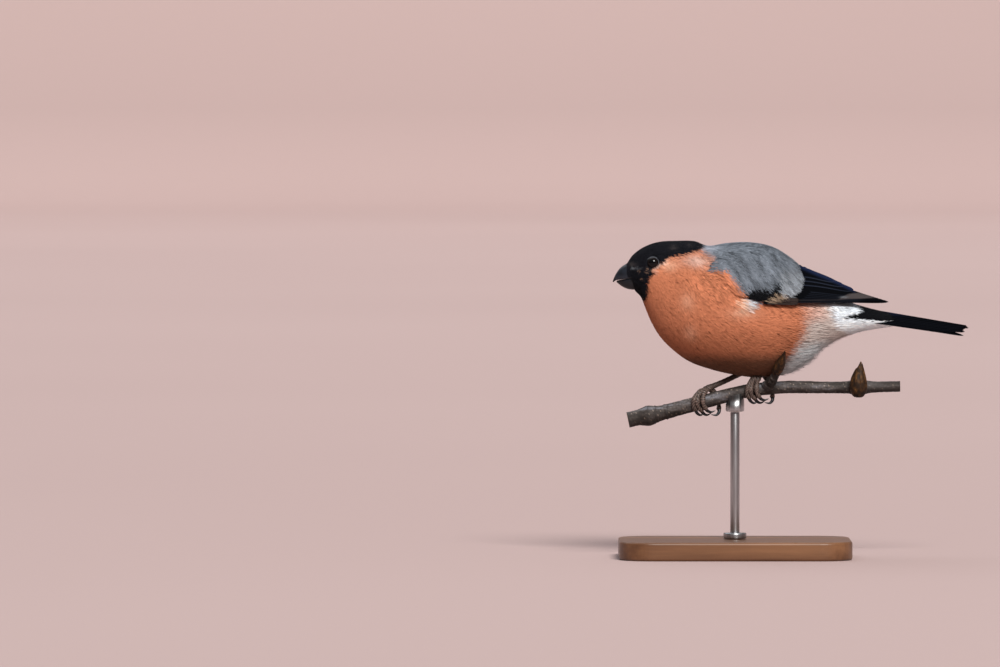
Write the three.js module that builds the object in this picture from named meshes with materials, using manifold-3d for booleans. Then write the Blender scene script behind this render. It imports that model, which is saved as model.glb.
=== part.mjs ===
// A male bullfinch on a short length of twig, held by a plain display stand.
// Millimetres, +Z up. The bird faces -X and its left side faces -Y.
// The origin is the middle of the base's underside.

import * as THREE from 'three';
import { mergeVertices } from 'three/addons/utils/BufferGeometryUtils.js';
import Module from 'manifold-3d';

const wasm = await Module();
wasm.setup();

// Driving dimensions
const GAP = 0.3;
const HALF_GAP = GAP / 2;
const MID = 3;                    // the bird's middle plane lies this far behind the twig
const BODY_SIDES = 20;
const BODY_STEPS = 25;
const WING_SIDES = 12;
const WING_STEPS = 13;
const TWIG_SIDES = 10;
const TWIG_STEPS = 22;
const EYE_RADIUS = 3.0;
const EYE = [-34.7, 6.6, 127.1];
const WING_THICKNESS = 2.0;
const WING_LIFT = 0.8;            // how far the folded wing stands off the flank
const TAIL_ROOT = 48;
const TAIL_TIP = 101.2;
const TAIL_NOTCH = 2.6;
const TAIL_NEAR_SHORTER = 1.4;
const TAIL_THICKNESS = 1.5;
const TOE_RADIUS = 0.95;
const TOE_TIP_RADIUS = 0.7;
const CLAW_RADIUS = 0.62;
const CLAW_TIP_RADIUS = 0.25;
const SHANK_RADIUS = 0.95;
const KNEE = { along: 5, out: 18, height: 97 };
const BASE_LENGTH = 100;
const BASE_WIDTH = 66;
const BASE_HEIGHT = 8;
const BASE_CORNER = 14;
const ROUND_SIDES = 18;
const BASE_CHAMFER = 0.8;
const ROD_RADIUS = 2.0;
const CUP_RADIUS = 4.0;
const CUP_HEIGHT = 7.5;
const FOOT_RING_RADIUS = 5.0;
const FOOT_RING_HEIGHT = 2.5;

// The body's rings in the side view, from the bill's base to the tip of the tail coverts.
// Each ring runs from a top to a bottom point; widest is the height of its widest level.
const BODY_RINGS = [
  { name: 'bill base', top: [-46.6, 126.9], bottom: [-43.4, 114.9], halfWidth: 4.9, widest: 0.5 },
  { name: 'forehead', top: [-43.9, 130.6], bottom: [-40.6, 112.0], halfWidth: 7.2, widest: 0.5 },
  { name: 'lores', top: [-39.3, 133.9], bottom: [-38.8, 107.6], halfWidth: 9.1, widest: 0.53 },
  { name: 'crown', top: [-33.1, 136.1], bottom: [-36.1, 101.2], halfWidth: 11.2, widest: 0.5 },
  { name: 'hind crown', top: [-25.8, 136.6], bottom: [-32.2, 94.8], halfWidth: 14.5, widest: 0.44 },
  { name: 'nape', top: [-18.3, 136.5], bottom: [-26.7, 89.2], halfWidth: 18.5, widest: 0.43 },
  { name: 'shoulder', top: [-11.2, 134.7], bottom: [-20.0, 84.4], halfWidth: 22.0, widest: 0.43 },
  { name: 'mantle', top: [-3.0, 135.7], bottom: [-11.6, 81.2], halfWidth: 24.5, widest: 0.45 },
  { name: 'middle', top: [6.5, 136.0], bottom: [-0.9, 78.6], halfWidth: 25.5, widest: 0.46 },
  { name: 'lower back', top: [15.9, 134.2], bottom: [10.8, 77.4], halfWidth: 25.0, widest: 0.47 },
  { name: 'rump', top: [23.6, 129.6], bottom: [21.9, 79.2], halfWidth: 23.0, widest: 0.48 },
  { name: 'vent', top: [30.5, 123.0], bottom: [30.1, 83.6], halfWidth: 19.5, widest: 0.5 },
  { name: 'tail base', top: [38.6, 115.5], bottom: [38.4, 90.9], halfWidth: 14.2, widest: 0.52 },
  { name: 'coverts', top: [51.0, 109.6], bottom: [51.5, 95.9], halfWidth: 8.6, widest: 0.5 },
  { name: 'covert tips', top: [66.5, 105.4], bottom: [69.5, 99.7], halfWidth: 5.0, widest: 0.5 },
];

// The folded wing's edges: along is X, then the upper and lower edges as [out from the middle, Z]
const WING_RINGS = [
  { along: -12.0, upper: [18.5, 124.0], lower: [21.0, 115.5] },
  { along: -5.6, upper: [14.2, 130.0], lower: [23.6, 110.5] },
  { along: 4.3, upper: [11.5, 132.4], lower: [25.4, 108.6] },
  { along: 15.0, upper: [9.0, 131.6], lower: [25.6, 108.7] },
  { along: 25.8, upper: [6.0, 127.2], lower: [23.4, 109.2] },
  { along: 34.4, upper: [3.6, 123.2], lower: [18.8, 109.5] },
  { along: 43.0, upper: [2.4, 119.6], lower: [13.0, 109.8] },
  { along: 50.3, upper: [1.9, 116.2], lower: [9.0, 110.3] },
  { along: 58.0, upper: [1.8, 113.4], lower: [6.0, 110.6] },
  { along: 65.6, upper: [2.4, 111.3], lower: [3.6, 110.7] },
];

// The twig's middle line and thickness; it rises to the right and then runs level
const TWIG = [
  [-46.0, 0, 59.4], [-32.0, 0, 62.3], [-19.4, 0, 65.6], [-6.5, 0, 69.0], [4.3, 0, 71.6],
  [12.9, 0, 72.8], [23.6, 0, 73.5], [40.9, 0, 73.3], [58.0, 0, 73.5], [71.0, 0, 73.8],
];
const TWIG_RADIUS_LEFT = 3.3;
const TWIG_RADIUS_RIGHT = 2.25;
const TWIG_KNOTS = [
  { along: -37.0, reach: 3.2, swell: 1.1 },
  { along: 53.5, reach: 3.6, swell: 1.2 },
];
const SPUR = [[14.2, -2.2, 74.2], [16.4, -7.0, 77.4], [18.0, -10.2, 81.2]];
const SPUR_RADIUS = [2.7, 2.3];
const NEAR_BUD = {
  root: [18.15, -10.5, 81.6], bend: [19.6, -14.2, 85.0], tip: [20.9, -19.6, 89.6], radius: 2.15,
};
const REAR_BUD = {
  root: [53.2, -4.9, 69.4], bend: [53.0, -5.9, 76.4], tip: [54.0, -4.8, 84.6], radius: 3.9,
};

// Each leg: heel, root of the toes, and how the toes go round the twig
const LEGS = {
  left: { side: -1, heel: [27.2, -6.4, 84.0], root: [11.4, -1.3, 79.3], ring: 72.2, grip: 3.85 },
  right: { side: 1, heel: [4.9, 7.2, 80.3], root: [-11.6, 0.9, 72.9], ring: 67.35, grip: 4.25 },
};
// Front toes 2, 3 and 4 go forward over the near side and back below; toe 1 goes behind
const TOES = [
  { name: 'toe1', spread: 4.6, around: -2.45, bow: 1.6 },
  { name: 'toe2', spread: -3.6, around: 2.45, bow: -4.0 },
  { name: 'toe3', spread: -0.9, around: 2.65, bow: -4.2 },
  { name: 'toe4', spread: 1.8, around: 2.35, bow: -3.4 },
];

// Colours of the pieces
const COLOURS = {
  cap: '#15161b', orange: '#cf7c5c', grey: '#85868d', pale: '#d9d6d3', black: '#17181f',
  horn: '#1e1f24', leg: '#463a35', eye: '#0b0908', bark: '#6a605a', bud: '#6b4a2c',
  wood: '#7a5a3c', metal: '#8d9094',
};

function material(colour, roughness = 0.8, metalness = 0) {
  return new THREE.MeshStandardMaterial({ color: colour, roughness, metalness });
}

// Merge a geometry's shared points, and turn its faces outwards
function closed(geometry) {
  geometry.deleteAttribute('normal');
  geometry.deleteAttribute('uv');
  const merged = mergeVertices(geometry, 1e-4);
  const place = merged.attributes.position;
  const index = merged.index.array;
  const corners = [0, 1, 2].map(() => new THREE.Vector3());
  const faces = [];
  let volume = 0;
  for (let first = 0; first < index.length; first += 3) {
    const face = [index[first], index[first + 1], index[first + 2]];
    if (face[0] === face[1] || face[1] === face[2] || face[2] === face[0]) continue;
    corners.forEach((corner, n) => corner.fromBufferAttribute(place, face[n]));
    volume += corners[0].dot(corners[1].clone().cross(corners[2]));
    faces.push(face);
  }
  merged.setIndex(faces.flatMap((face) => (volume < 0 ? face.reverse() : face)));
  return merged;
}

function solid(geometry) {
  const merged = closed(geometry);
  return new wasm.Manifold(new wasm.Mesh({
    numProp: 3,
    vertProperties: new Float32Array(merged.attributes.position.array),
    triVerts: new Uint32Array(merged.index.array),
  }));
}

// A cut can leave loose crumbs at its edges; only the main piece is kept
function mainPiece(shape) {
  const pieces = shape.decompose();
  return pieces.reduce((largest, piece) => (piece.volume() > largest.volume() ? piece : largest));
}

function toGeometry(shape) {
  const mesh = mainPiece(shape).getMesh();
  const geometry = new THREE.BufferGeometry();
  geometry.setAttribute('position', new THREE.BufferAttribute(mesh.vertProperties, 3));
  geometry.setIndex(new THREE.BufferAttribute(mesh.triVerts, 1));
  geometry.computeVertexNormals();
  return geometry;
}

// A sphere whose points are moved to place(along, angle): along runs 0 to 1 from end to end
function skin(sides, steps, place) {
  const geometry = new THREE.SphereGeometry(1, sides, steps);
  const position = geometry.attributes.position;
  const uv = geometry.attributes.uv;
  for (let n = 0; n < position.count; n += 1) {
    const row = Math.round((1 - uv.getY(n)) * steps);
    const turn = Math.round(uv.getX(n) * sides) % sides;
    const isPole = row === 0 || row === steps;
    const along = THREE.MathUtils.clamp((row - 1) / (steps - 2), 0, 1);
    const point = place(along, turn / sides * 2 * Math.PI, isPole);
    position.setXYZ(n, point.x, point.y, point.z);
  }
  return geometry;
}

// A closed tube along a curve, with its radius given at each share of the length
function tube(points, radiusAt, sides = 8, steps = 10) {
  const curve = new THREE.CatmullRomCurve3(points.map((point) => new THREE.Vector3(...point)));
  const frames = curve.computeFrenetFrames(steps, false);
  const geometry = new THREE.CylinderGeometry(1, 1, 1, sides, steps);
  const position = geometry.attributes.position;
  for (let n = 0; n < position.count; n += 1) {
    const step = Math.round((position.getY(n) + 0.5) * steps);
    const radius = radiusAt(step / steps);
    const point = curve.getPointAt(step / steps)
      .addScaledVector(frames.binormals[step], position.getX(n) * radius)
      .addScaledVector(frames.normals[step], position.getZ(n) * radius);
    position.setXYZ(n, point.x, point.y, point.z);
  }
  return geometry;
}

function blend(values, along) {
  const curve = new THREE.CatmullRomCurve3(values.map((value) => new THREE.Vector3(...value)));
  curve.curveType = 'centripetal';
  return curve.getPoint(along);
}

// The body's surface: a ring of two half ellipses that meet at the widest level
function bodyPoint(along, angle, isPole) {
  const top = blend(BODY_RINGS.map((ring) => [ring.top[0], 0, ring.top[1]]), along);
  const bottom = blend(BODY_RINGS.map((ring) => [ring.bottom[0], 0, ring.bottom[1]]), along);
  const shape = blend(BODY_RINGS.map((ring, n) => [ring.halfWidth, ring.widest, n]), along);
  const centre = bottom.clone().lerp(top, shape.y);
  const height = isPole ? 0 : Math.sin(angle);
  const point = centre.clone().lerp(height > 0 ? top : bottom, Math.abs(height));
  point.y = MID + (isPole ? 0 : shape.x * Math.cos(angle));
  return point;
}

// The folded wing: a bent shell between its upper and lower edges
function wingPoint(side, grow) {
  return (along, angle, isPole) => {
    const half = WING_THICKNESS / 2 * (1 - 0.55 * along) + grow;
    const upper = blend(WING_RINGS.map((ring) => [ring.along, ...ring.upper]), along);
    const lower = blend(WING_RINGS.map((ring) => [ring.along, ...ring.lower]), along);
    const share = isPole ? 0.5 : (1 - Math.cos(angle)) / 2;
    const bend = Math.sin(share * Math.PI / 2);
    const out = THREE.MathUtils.lerp(upper.y, lower.y, bend) + WING_LIFT * (1 - along);
    const slope = (lower.y - upper.y) * Math.cos(share * Math.PI / 2) * Math.PI / 2;
    const drop = lower.z - upper.z;
    const length = Math.hypot(slope, drop);
    const lift = isPole ? 0 : Math.sin(angle) * half;
    const edge = isPole ? 0 : -Math.cos(angle) * grow;
    const endGrow = along === 0 ? -grow : Number(along === 1) * grow;
    return new THREE.Vector3(
      upper.x + endGrow,
      MID + side * (out - lift * drop / length + edge * slope / length),
      THREE.MathUtils.lerp(upper.z, lower.z, share) + lift * slope / length + edge * drop / length,
    );
  };
}

// The closed tail: a thin roof that hangs lower on the near side, with a shallow notch
function tailPoint(grow) {
  return (along, angle, isPole) => {
    const halfWidth = THREE.MathUtils.lerp(4.6, 7.4, along ** 0.7);
    const across = isPole ? 0 : -Math.cos(angle) * (1 + grow / halfWidth);
    const near = Math.max(-across, 0) ** 1.4;
    const far = Math.max(across, 0) ** 1.4;
    const notch = TAIL_NOTCH * Math.max(1 - Math.abs(across), 0);
    const length = TAIL_TIP - TAIL_ROOT - notch - TAIL_NEAR_SHORTER * near;
    const ridge = THREE.MathUtils.lerp(108.6, 99.7, along);
    const hang = THREE.MathUtils.lerp(5.2, 3.6, along);
    const half = TAIL_THICKNESS / 2 + grow;
    const lift = isPole ? 0 : Math.sin(angle) * half;
    const endGrow = along === 0 ? -grow : Number(along === 1) * grow;
    return new THREE.Vector3(
      TAIL_ROOT + length * along + endGrow,
      MID + across * halfWidth,
      ridge - hang * near - 0.25 * hang * far + lift,
    );
  };
}

// A bill half, from rings of its own: [top x, top z, bottom x, bottom z, half width]
function billHalf(rings) {
  return skin(12, 10, (along, angle, isPole) => {
    const top = blend(rings.map((ring) => [ring[0], 0, ring[1]]), along);
    const bottom = blend(rings.map((ring) => [ring[2], 0, ring[3]]), along);
    const width = blend(rings.map((ring, n) => [ring[4], 0, n]), along);
    const height = isPole ? 0.5 : 0.5 + 0.5 * Math.sin(angle);
    const point = bottom.clone().lerp(top, height);
    point.y = MID + (isPole ? 0 : width.x * Math.cos(angle));
    return point;
  });
}

const UPPER_BILL = [
  [-43.9, 126.0, -40.6, 120.3, 4.3],
  [-46.8, 126.4, -43.4, 120.2, 4.3],
  [-49.4, 124.5, -46.4, 120.0, 3.5],
  [-51.3, 122.0, -49.4, 119.7, 2.3],
  [-52.3, 119.9, -51.4, 119.3, 0.9],
  [-52.6, 118.9, -52.2, 118.7, 0.3],
];
const LOWER_BILL = [
  [-40.6, 119.8, -42.4, 115.3, 3.9],
  [-43.4, 119.7, -45.8, 115.5, 3.6],
  [-46.4, 119.4, -48.2, 116.6, 2.7],
  [-48.9, 119.1, -49.9, 117.8, 1.5],
  [-50.7, 118.7, -51.0, 118.5, 0.4],
];

// A convex block in the side view, drawn in by half a gap, that cuts out one part of the body
function block(corners) {
  const count = corners.length;
  const centre = corners.reduce((sum, [x, z]) => [sum[0] + x / count, sum[1] + z / count], [0, 0]);
  const lines = corners.map(([x, z], n) => {
    const [nextX, nextZ] = corners[(n + 1) % count];
    const normal = new THREE.Vector2(z - nextZ, nextX - x).normalize();
    const towards = normal.x * (centre[0] - x) + normal.y * (centre[1] - z);
    if (towards < 0) normal.negate();
    return { normal, reach: normal.x * x + normal.y * z + HALF_GAP };
  });
  const outline = lines.map((line, n) => {
    const next = lines[(n + 1) % count];
    const cross = line.normal.x * next.normal.y - line.normal.y * next.normal.x;
    return new THREE.Vector2(
      (line.reach * next.normal.y - next.reach * line.normal.y) / cross,
      (line.normal.x * next.reach - next.normal.x * line.reach) / cross,
    );
  });
  const depth = 120;
  const geometry = new THREE.ExtrudeGeometry(new THREE.Shape(outline), { depth, bevelEnabled: false });
  geometry.rotateX(Math.PI / 2);
  geometry.translate(0, depth / 2, 0);
  return solid(geometry);
}

// Corners of the cuts in the side view: along the back, through the flank, and below
const NAPE_ABOVE = [-6, 158];
const NAPE_BELOW = [-60, 77];
const NECK_ABOVE = [6.7, 158];
const NECK_FLANK = [-23.3, 113];
const NECK_BELOW = [-61.3, 56];
const BREAST_FLANK = [1, 111.7];
const BREAST_BELOW = [-17, 56];
const BACK_ABOVE = [27, 158];
const BACK_FLANK = [27, 110.8];
const BELLY_BELOW = [17, 56];
const RUMP_ABOVE = [44, 158];
const RUMP_FLANK = [44, 104];
const VENT_BELOW = [44, 56];
const BODY_PARTS = {
  head: { colour: 'cap', corners: [NAPE_ABOVE, NAPE_BELOW, [-80, 77], [-80, 158]] },
  neck: { colour: 'orange', corners: [NAPE_ABOVE, NECK_ABOVE, NECK_BELOW, NAPE_BELOW] },
  breast: { colour: 'orange', corners: [NECK_FLANK, BREAST_FLANK, BREAST_BELOW, NECK_BELOW] },
  belly: { colour: 'orange', corners: [BREAST_FLANK, BACK_FLANK, BELLY_BELOW, BREAST_BELOW] },
  vent: { colour: 'pale', corners: [BACK_FLANK, RUMP_FLANK, VENT_BELOW, BELLY_BELOW] },
  back: { colour: 'grey', corners: [NECK_ABOVE, BACK_ABOVE, BACK_FLANK, NECK_FLANK] },
  rump: { colour: 'pale', corners: [BACK_ABOVE, RUMP_ABOVE, RUMP_FLANK, BACK_FLANK] },
  tail_coverts: { colour: 'pale', corners: [RUMP_ABOVE, [130, 158], [130, 56], VENT_BELOW] },
};

const finch = new THREE.Group();

function add(name, shape, colour, roughness, metalness) {
  const geometry = shape.getMesh ? toGeometry(shape) : closed(shape);
  const mesh = new THREE.Mesh(geometry, material(COLOURS[colour], roughness, metalness));
  mesh.name = name;
  finch.add(mesh);
}

function linear(from, to) {
  return (share) => THREE.MathUtils.lerp(from, to, share);
}

// A toe's middle line: from its root out over the twig, round it and back below
function toePath(leg, toe) {
  const [rootX, rootY, rootZ] = leg.root;
  const points = [[rootX, rootY, rootZ]];
  const stops = 5;
  for (let stop = 1; stop <= stops; stop += 1) {
    const share = stop / stops;
    const angle = toe.around * (0.18 + 0.82 * share);
    const bow = toe.bow * Math.sin(Math.min(Math.abs(angle), Math.PI));
    const settle = Math.max(0, 1 - share * 2.2);
    points.push([
      rootX + toe.spread * share ** 0.6 * (1 - 0.2 * share) + bow,
      -leg.grip * Math.sin(angle) + rootY * settle,
      leg.ring + leg.grip * Math.cos(angle) + (rootZ - leg.ring - leg.grip) * settle,
    ]);
  }
  return points;
}

// The claw goes on from the toe's end and curls up towards the twig
function clawPath(leg, toe) {
  const path = toePath(leg, toe);
  const end = new THREE.Vector3(...path[path.length - 1]);
  const before = new THREE.Vector3(...path[path.length - 2]);
  const ahead = end.clone().sub(before).normalize();
  const inwards = new THREE.Vector3(0, -end.y, leg.ring - end.z).normalize();
  const slide = new THREE.Vector3(-Math.sign(toe.bow) * 0.8, 0, 0);
  const start = end.clone().addScaledVector(ahead, GAP);
  const middle = start.clone().addScaledVector(ahead, 1.7).addScaledVector(inwards, -0.15).add(slide);
  const tip = middle.clone().addScaledVector(ahead, 1.2).addScaledVector(inwards, 0.9).add(slide);
  return [start, middle, tip].map((point) => point.toArray());
}

function toeRadius(share) {
  return THREE.MathUtils.lerp(TOE_RADIUS, TOE_TIP_RADIUS, share);
}

function footSolid(leg) {
  const pad = new THREE.SphereGeometry(1, 8, 6);
  pad.scale(2.1, 1.7, 1.3);
  pad.translate(leg.root[0] - 0.3, leg.root[1], leg.root[2] - 0.2);
  let foot = solid(pad);
  TOES.forEach((toe) => {
    foot = foot.add(solid(tube(toePath(leg, toe), toeRadius, 6, 7)));
  });
  return foot;
}

// The hollow in the belly's feathers where the foot's root stands
function footGap(leg) {
  const hollow = new THREE.SphereGeometry(1, 10, 6);
  hollow.scale(7.2, 6.2, 5.4);
  hollow.translate(leg.root[0] - 1.6, leg.root[1] - 1.4, leg.root[2] - 0.6);
  return solid(hollow);
}

// The shank starts above the foot and ends at the heel
function shankPath(leg) {
  const root = new THREE.Vector3(...leg.root);
  const heel = new THREE.Vector3(...leg.heel);
  const middle = root.clone().lerp(heel, 0.5).add(new THREE.Vector3(0, 0, -0.25));
  return [root, middle, heel].map((point) => point.toArray());
}

function shankRadius(share) {
  return SHANK_RADIUS * (1 + 0.35 * (2 * share - 1) ** 4);
}

// The feathered thigh goes from the heel up and forward to the knee, along the flank
function thighPath(leg) {
  const heel = new THREE.Vector3(...leg.heel);
  const knee = new THREE.Vector3(KNEE.along, MID + leg.side * KNEE.out, KNEE.height);
  const middle = heel.clone().lerp(knee, 0.5).add(new THREE.Vector3(0.8, leg.side * 0.8, -0.8));
  return [heel, middle, knee].map((point) => point.toArray());
}

function thighRadius(share) {
  return 1.6 + 5.6 * Math.sin(share * Math.PI / 2) ** 1.4;
}

function grown(radiusAt) {
  return (share) => radiusAt(share) + GAP;
}

function twigRadius(share) {
  const along = THREE.MathUtils.lerp(TWIG[0][0], TWIG[TWIG.length - 1][0], share);
  const taper = THREE.MathUtils.lerp(TWIG_RADIUS_LEFT, TWIG_RADIUS_RIGHT, share);
  const swell = TWIG_KNOTS.map((knot) => knot.swell * Math.exp(-(((along - knot.along) / knot.reach) ** 2)));
  return taper + swell.reduce((sum, value) => sum + value, 0);
}

function budRadius(bud) {
  return (share) => bud.radius * (0.45 + 0.55 * Math.sin(Math.PI * share ** 0.65)) * (1 - 0.78 * share ** 3);
}

function budTube(bud, grow = 0) {
  const radiusAt = budRadius(bud);
  return tube([bud.root, bud.bend, bud.tip], (share) => radiusAt(share) + grow, 8, 8);
}

// The twig, its spur and the buds
const twig = solid(tube(TWIG, twigRadius, TWIG_SIDES, TWIG_STEPS));
const spur = solid(tube(SPUR, linear(...SPUR_RADIUS), 8, 3));
const budGap = solid(budTube(NEAR_BUD, GAP)).add(solid(budTube(REAR_BUD, GAP)));
const perch = twig.add(spur).subtract(budGap);
const twigGap = solid(tube(TWIG, grown(twigRadius), TWIG_SIDES, TWIG_STEPS));
const spurGap = solid(tube(SPUR, grown(linear(...SPUR_RADIUS)), 8, 3)).add(budGap);

// The display stand: a flat base, one rod with a foot ring, and a cup under the twig
function standBase() {
  const x = BASE_LENGTH / 2 - BASE_CHAMFER;
  const y = BASE_WIDTH / 2 - BASE_CHAMFER;
  const outline = new THREE.Shape();
  outline.moveTo(-x + BASE_CORNER, -y);
  outline.lineTo(x - BASE_CORNER, -y);
  outline.absarc(x - BASE_CORNER, -y + BASE_CORNER, BASE_CORNER, -Math.PI / 2, 0);
  outline.absarc(x - BASE_CORNER, y - BASE_CORNER, BASE_CORNER, 0, Math.PI / 2);
  outline.absarc(-x + BASE_CORNER, y - BASE_CORNER, BASE_CORNER, Math.PI / 2, Math.PI);
  outline.absarc(-x + BASE_CORNER, -y + BASE_CORNER, BASE_CORNER, Math.PI, Math.PI * 1.5);
  const geometry = new THREE.ExtrudeGeometry(outline, {
    depth: BASE_HEIGHT - 2 * BASE_CHAMFER,
    bevelThickness: BASE_CHAMFER,
    bevelSize: BASE_CHAMFER,
    bevelSegments: 1,
    curveSegments: 5,
  });
  geometry.translate(0, 0, BASE_CHAMFER);
  return geometry;
}

function upright(radius, from, to) {
  const geometry = new THREE.CylinderGeometry(radius, radius, to - from, ROUND_SIDES);
  geometry.rotateX(Math.PI / 2);
  geometry.translate(0, 0, (from + to) / 2);
  return geometry;
}

const cupTop = 70.5;
const cupBottom = cupTop - CUP_HEIGHT;
const ringTop = BASE_HEIGHT + GAP + FOOT_RING_HEIGHT;
const ringHole = solid(upright(ROD_RADIUS + GAP, BASE_HEIGHT, ringTop + 1));
add('stand_base', standBase(), 'wood', 0.5);
add('stand_foot_ring', solid(upright(FOOT_RING_RADIUS, BASE_HEIGHT + GAP, ringTop)).subtract(ringHole),
  'metal', 0.35, 1);
add('stand_rod', upright(ROD_RADIUS, BASE_HEIGHT + GAP, cupBottom - GAP), 'metal', 0.35, 1);
add('stand_cup', solid(upright(CUP_RADIUS, cupBottom, cupTop)).subtract(twigGap), 'metal', 0.35, 1);
add('perch_twig', perch, 'bark', 0.85);
add('perch_bud_near', budTube(NEAR_BUD), 'bud', 0.6);
add('perch_bud_rear', budTube(REAR_BUD), 'bud', 0.6);

// Tools that cut the body where the wings, tail, eyes, bill, legs and buds sit in it
const wings = {};
const wingGaps = {};
['left', 'right'].forEach((name) => {
  const side = LEGS[name].side;
  wings[name] = solid(skin(WING_SIDES, WING_STEPS, wingPoint(side, 0)));
  wingGaps[name] = solid(skin(WING_SIDES, WING_STEPS, wingPoint(side, GAP)));
});
const tail = solid(skin(14, 10, tailPoint(0)));
const tailGap = solid(skin(14, 10, tailPoint(GAP)));
const upperBill = solid(billHalf(UPPER_BILL));
const lowerBill = solid(billHalf(LOWER_BILL));
const wholeBody = solid(skin(BODY_SIDES, BODY_STEPS, bodyPoint));

function ball(radius, side) {
  const geometry = new THREE.SphereGeometry(radius, 12, 8);
  geometry.translate(EYE[0], MID + side * EYE[1], EYE[2]);
  return geometry;
}

// The bill's halves end at the face, so the head keeps its whole shape behind them
function outside(shape, reach) {
  const pushed = wholeBody.getMesh();
  const grownFace = new THREE.BufferGeometry();
  const points = pushed.vertProperties.slice();
  for (let n = 0; n < points.length; n += 3) {
    points[n] -= reach;
  }
  grownFace.setAttribute('position', new THREE.BufferAttribute(points, 3));
  grownFace.setIndex(new THREE.BufferAttribute(pushed.triVerts, 1));
  return shape.subtract(solid(grownFace));
}

let body = wholeBody;
const shanks = {};
const thighs = {};
['left', 'right'].forEach((name) => {
  const leg = LEGS[name];
  body = body.subtract(wingGaps[name]);
  body = body.subtract(solid(ball(EYE_RADIUS + GAP, leg.side)));
  const shankGap = solid(tube(shankPath(leg), grown(shankRadius), 6, 4));
  const thighGap = solid(tube(thighPath(leg), grown(thighRadius), 8, 4));
  const thigh = solid(tube(thighPath(leg), thighRadius, 8, 4));
  body = body.subtract(shankGap).subtract(thighGap).subtract(footGap(leg));
  thighs[name] = wholeBody.intersect(thigh).subtract(shankGap).subtract(spurGap);
  shanks[name] = solid(tube(shankPath(leg), shankRadius, 6, 4));
});
body = body.subtract(tailGap).subtract(spurGap);

Object.entries(BODY_PARTS).forEach(([name, part]) => {
  add(name, body.intersect(block(part.corners)), part.colour);
});
add('tail', tail, 'black', 0.5);
add('bill_upper', outside(upperBill, GAP), 'horn', 0.4);
add('bill_lower', outside(lowerBill, GAP), 'horn', 0.4);

// The coverts end and the flight feathers start at a slanting line
const COVERT_EDGE_ABOVE = [35.5, 158];
const COVERT_EDGE_BELOW = [22.5, 90];
const covertBlock = block([[-40, 158], COVERT_EDGE_ABOVE, COVERT_EDGE_BELOW, [-40, 90]]);
const flightBlock = block([COVERT_EDGE_ABOVE, [90, 158], [90, 90], COVERT_EDGE_BELOW]);

['left', 'right'].forEach((name) => {
  const leg = LEGS[name];
  const foot = footSolid(leg);
  const footCut = solid(new THREE.SphereGeometry(2.5, 12, 8).translate(...leg.root));
  add(`eye_${name}`, ball(EYE_RADIUS, leg.side), 'eye', 0.1);
  add(`wing_${name}`, wings[name].intersect(covertBlock), 'grey');
  add(`flight_${name}`, wings[name].intersect(flightBlock), 'black', 0.5);
  add(`thigh_${name}`, thighs[name], 'orange');
  add(`shank_${name}`, shanks[name].subtract(footCut), 'leg', 0.6);
  add(`foot_${name}`, foot.subtract(twigGap), 'leg', 0.6);
  TOES.forEach((toe) => {
    const claw = tube(clawPath(leg, toe), linear(CLAW_RADIUS, CLAW_TIP_RADIUS), 6, 4);
    add(`claw_${name}_${toe.name}`, solid(claw).subtract(twigGap), 'horn', 0.4);
  });
});

export default finch;
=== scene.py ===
"""A male bullfinch gripping a short twig on a plain display stand.

Metres, +Z up. The bird faces -X, its left side faces -Y and the camera looks along +Y.
"""

import math

import bmesh
import bpy
import numpy as np
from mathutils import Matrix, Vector, noise


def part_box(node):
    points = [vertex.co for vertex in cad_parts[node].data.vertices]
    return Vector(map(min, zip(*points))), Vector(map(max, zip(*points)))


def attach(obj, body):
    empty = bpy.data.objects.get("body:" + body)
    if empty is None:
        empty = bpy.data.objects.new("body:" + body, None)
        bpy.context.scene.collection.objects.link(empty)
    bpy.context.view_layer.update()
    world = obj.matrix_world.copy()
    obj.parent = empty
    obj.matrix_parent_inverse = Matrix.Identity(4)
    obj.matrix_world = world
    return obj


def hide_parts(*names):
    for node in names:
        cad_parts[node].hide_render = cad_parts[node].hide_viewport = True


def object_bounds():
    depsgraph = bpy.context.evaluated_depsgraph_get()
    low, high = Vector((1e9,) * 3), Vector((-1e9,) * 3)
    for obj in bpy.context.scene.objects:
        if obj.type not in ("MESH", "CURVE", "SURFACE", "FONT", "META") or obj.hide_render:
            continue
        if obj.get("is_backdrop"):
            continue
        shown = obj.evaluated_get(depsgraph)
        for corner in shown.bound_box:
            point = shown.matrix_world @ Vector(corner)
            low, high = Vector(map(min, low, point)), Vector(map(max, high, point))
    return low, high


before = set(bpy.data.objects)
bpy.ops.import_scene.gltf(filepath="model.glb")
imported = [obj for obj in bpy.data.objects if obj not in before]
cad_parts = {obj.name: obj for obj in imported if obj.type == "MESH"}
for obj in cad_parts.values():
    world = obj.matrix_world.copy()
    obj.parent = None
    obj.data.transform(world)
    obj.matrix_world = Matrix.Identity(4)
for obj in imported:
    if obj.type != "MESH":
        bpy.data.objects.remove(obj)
cad_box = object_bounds()

MM = 0.001
TAU = 2 * math.pi
MID = 3.0 * MM                        # the bird's middle plane lies behind the twig's
LEFT = -1
RIGHT = 1

# The photograph's frame: one of its pixels on the object, and its pixel above the stand's middle
FRAME_WIDTH = 1000
FRAME_HEIGHT = 667
PIXEL = 0.43 * MM
STAND_PIXEL_X = 735
FLOOR_PIXEL_Y = 558

LENS = 400
SENSOR = 36
CAMERA_RISE = math.radians(1.6)


def at_pixel(column, row):
    """The X and Z in metres of a place in the photograph's frame."""
    return (column - STAND_PIXEL_X) * PIXEL, (FLOOR_PIXEL_Y - row) * PIXEL


def column_x(column):
    return at_pixel(column, 0)[0]


def row_z(row):
    return at_pixel(0, row)[1]


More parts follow.
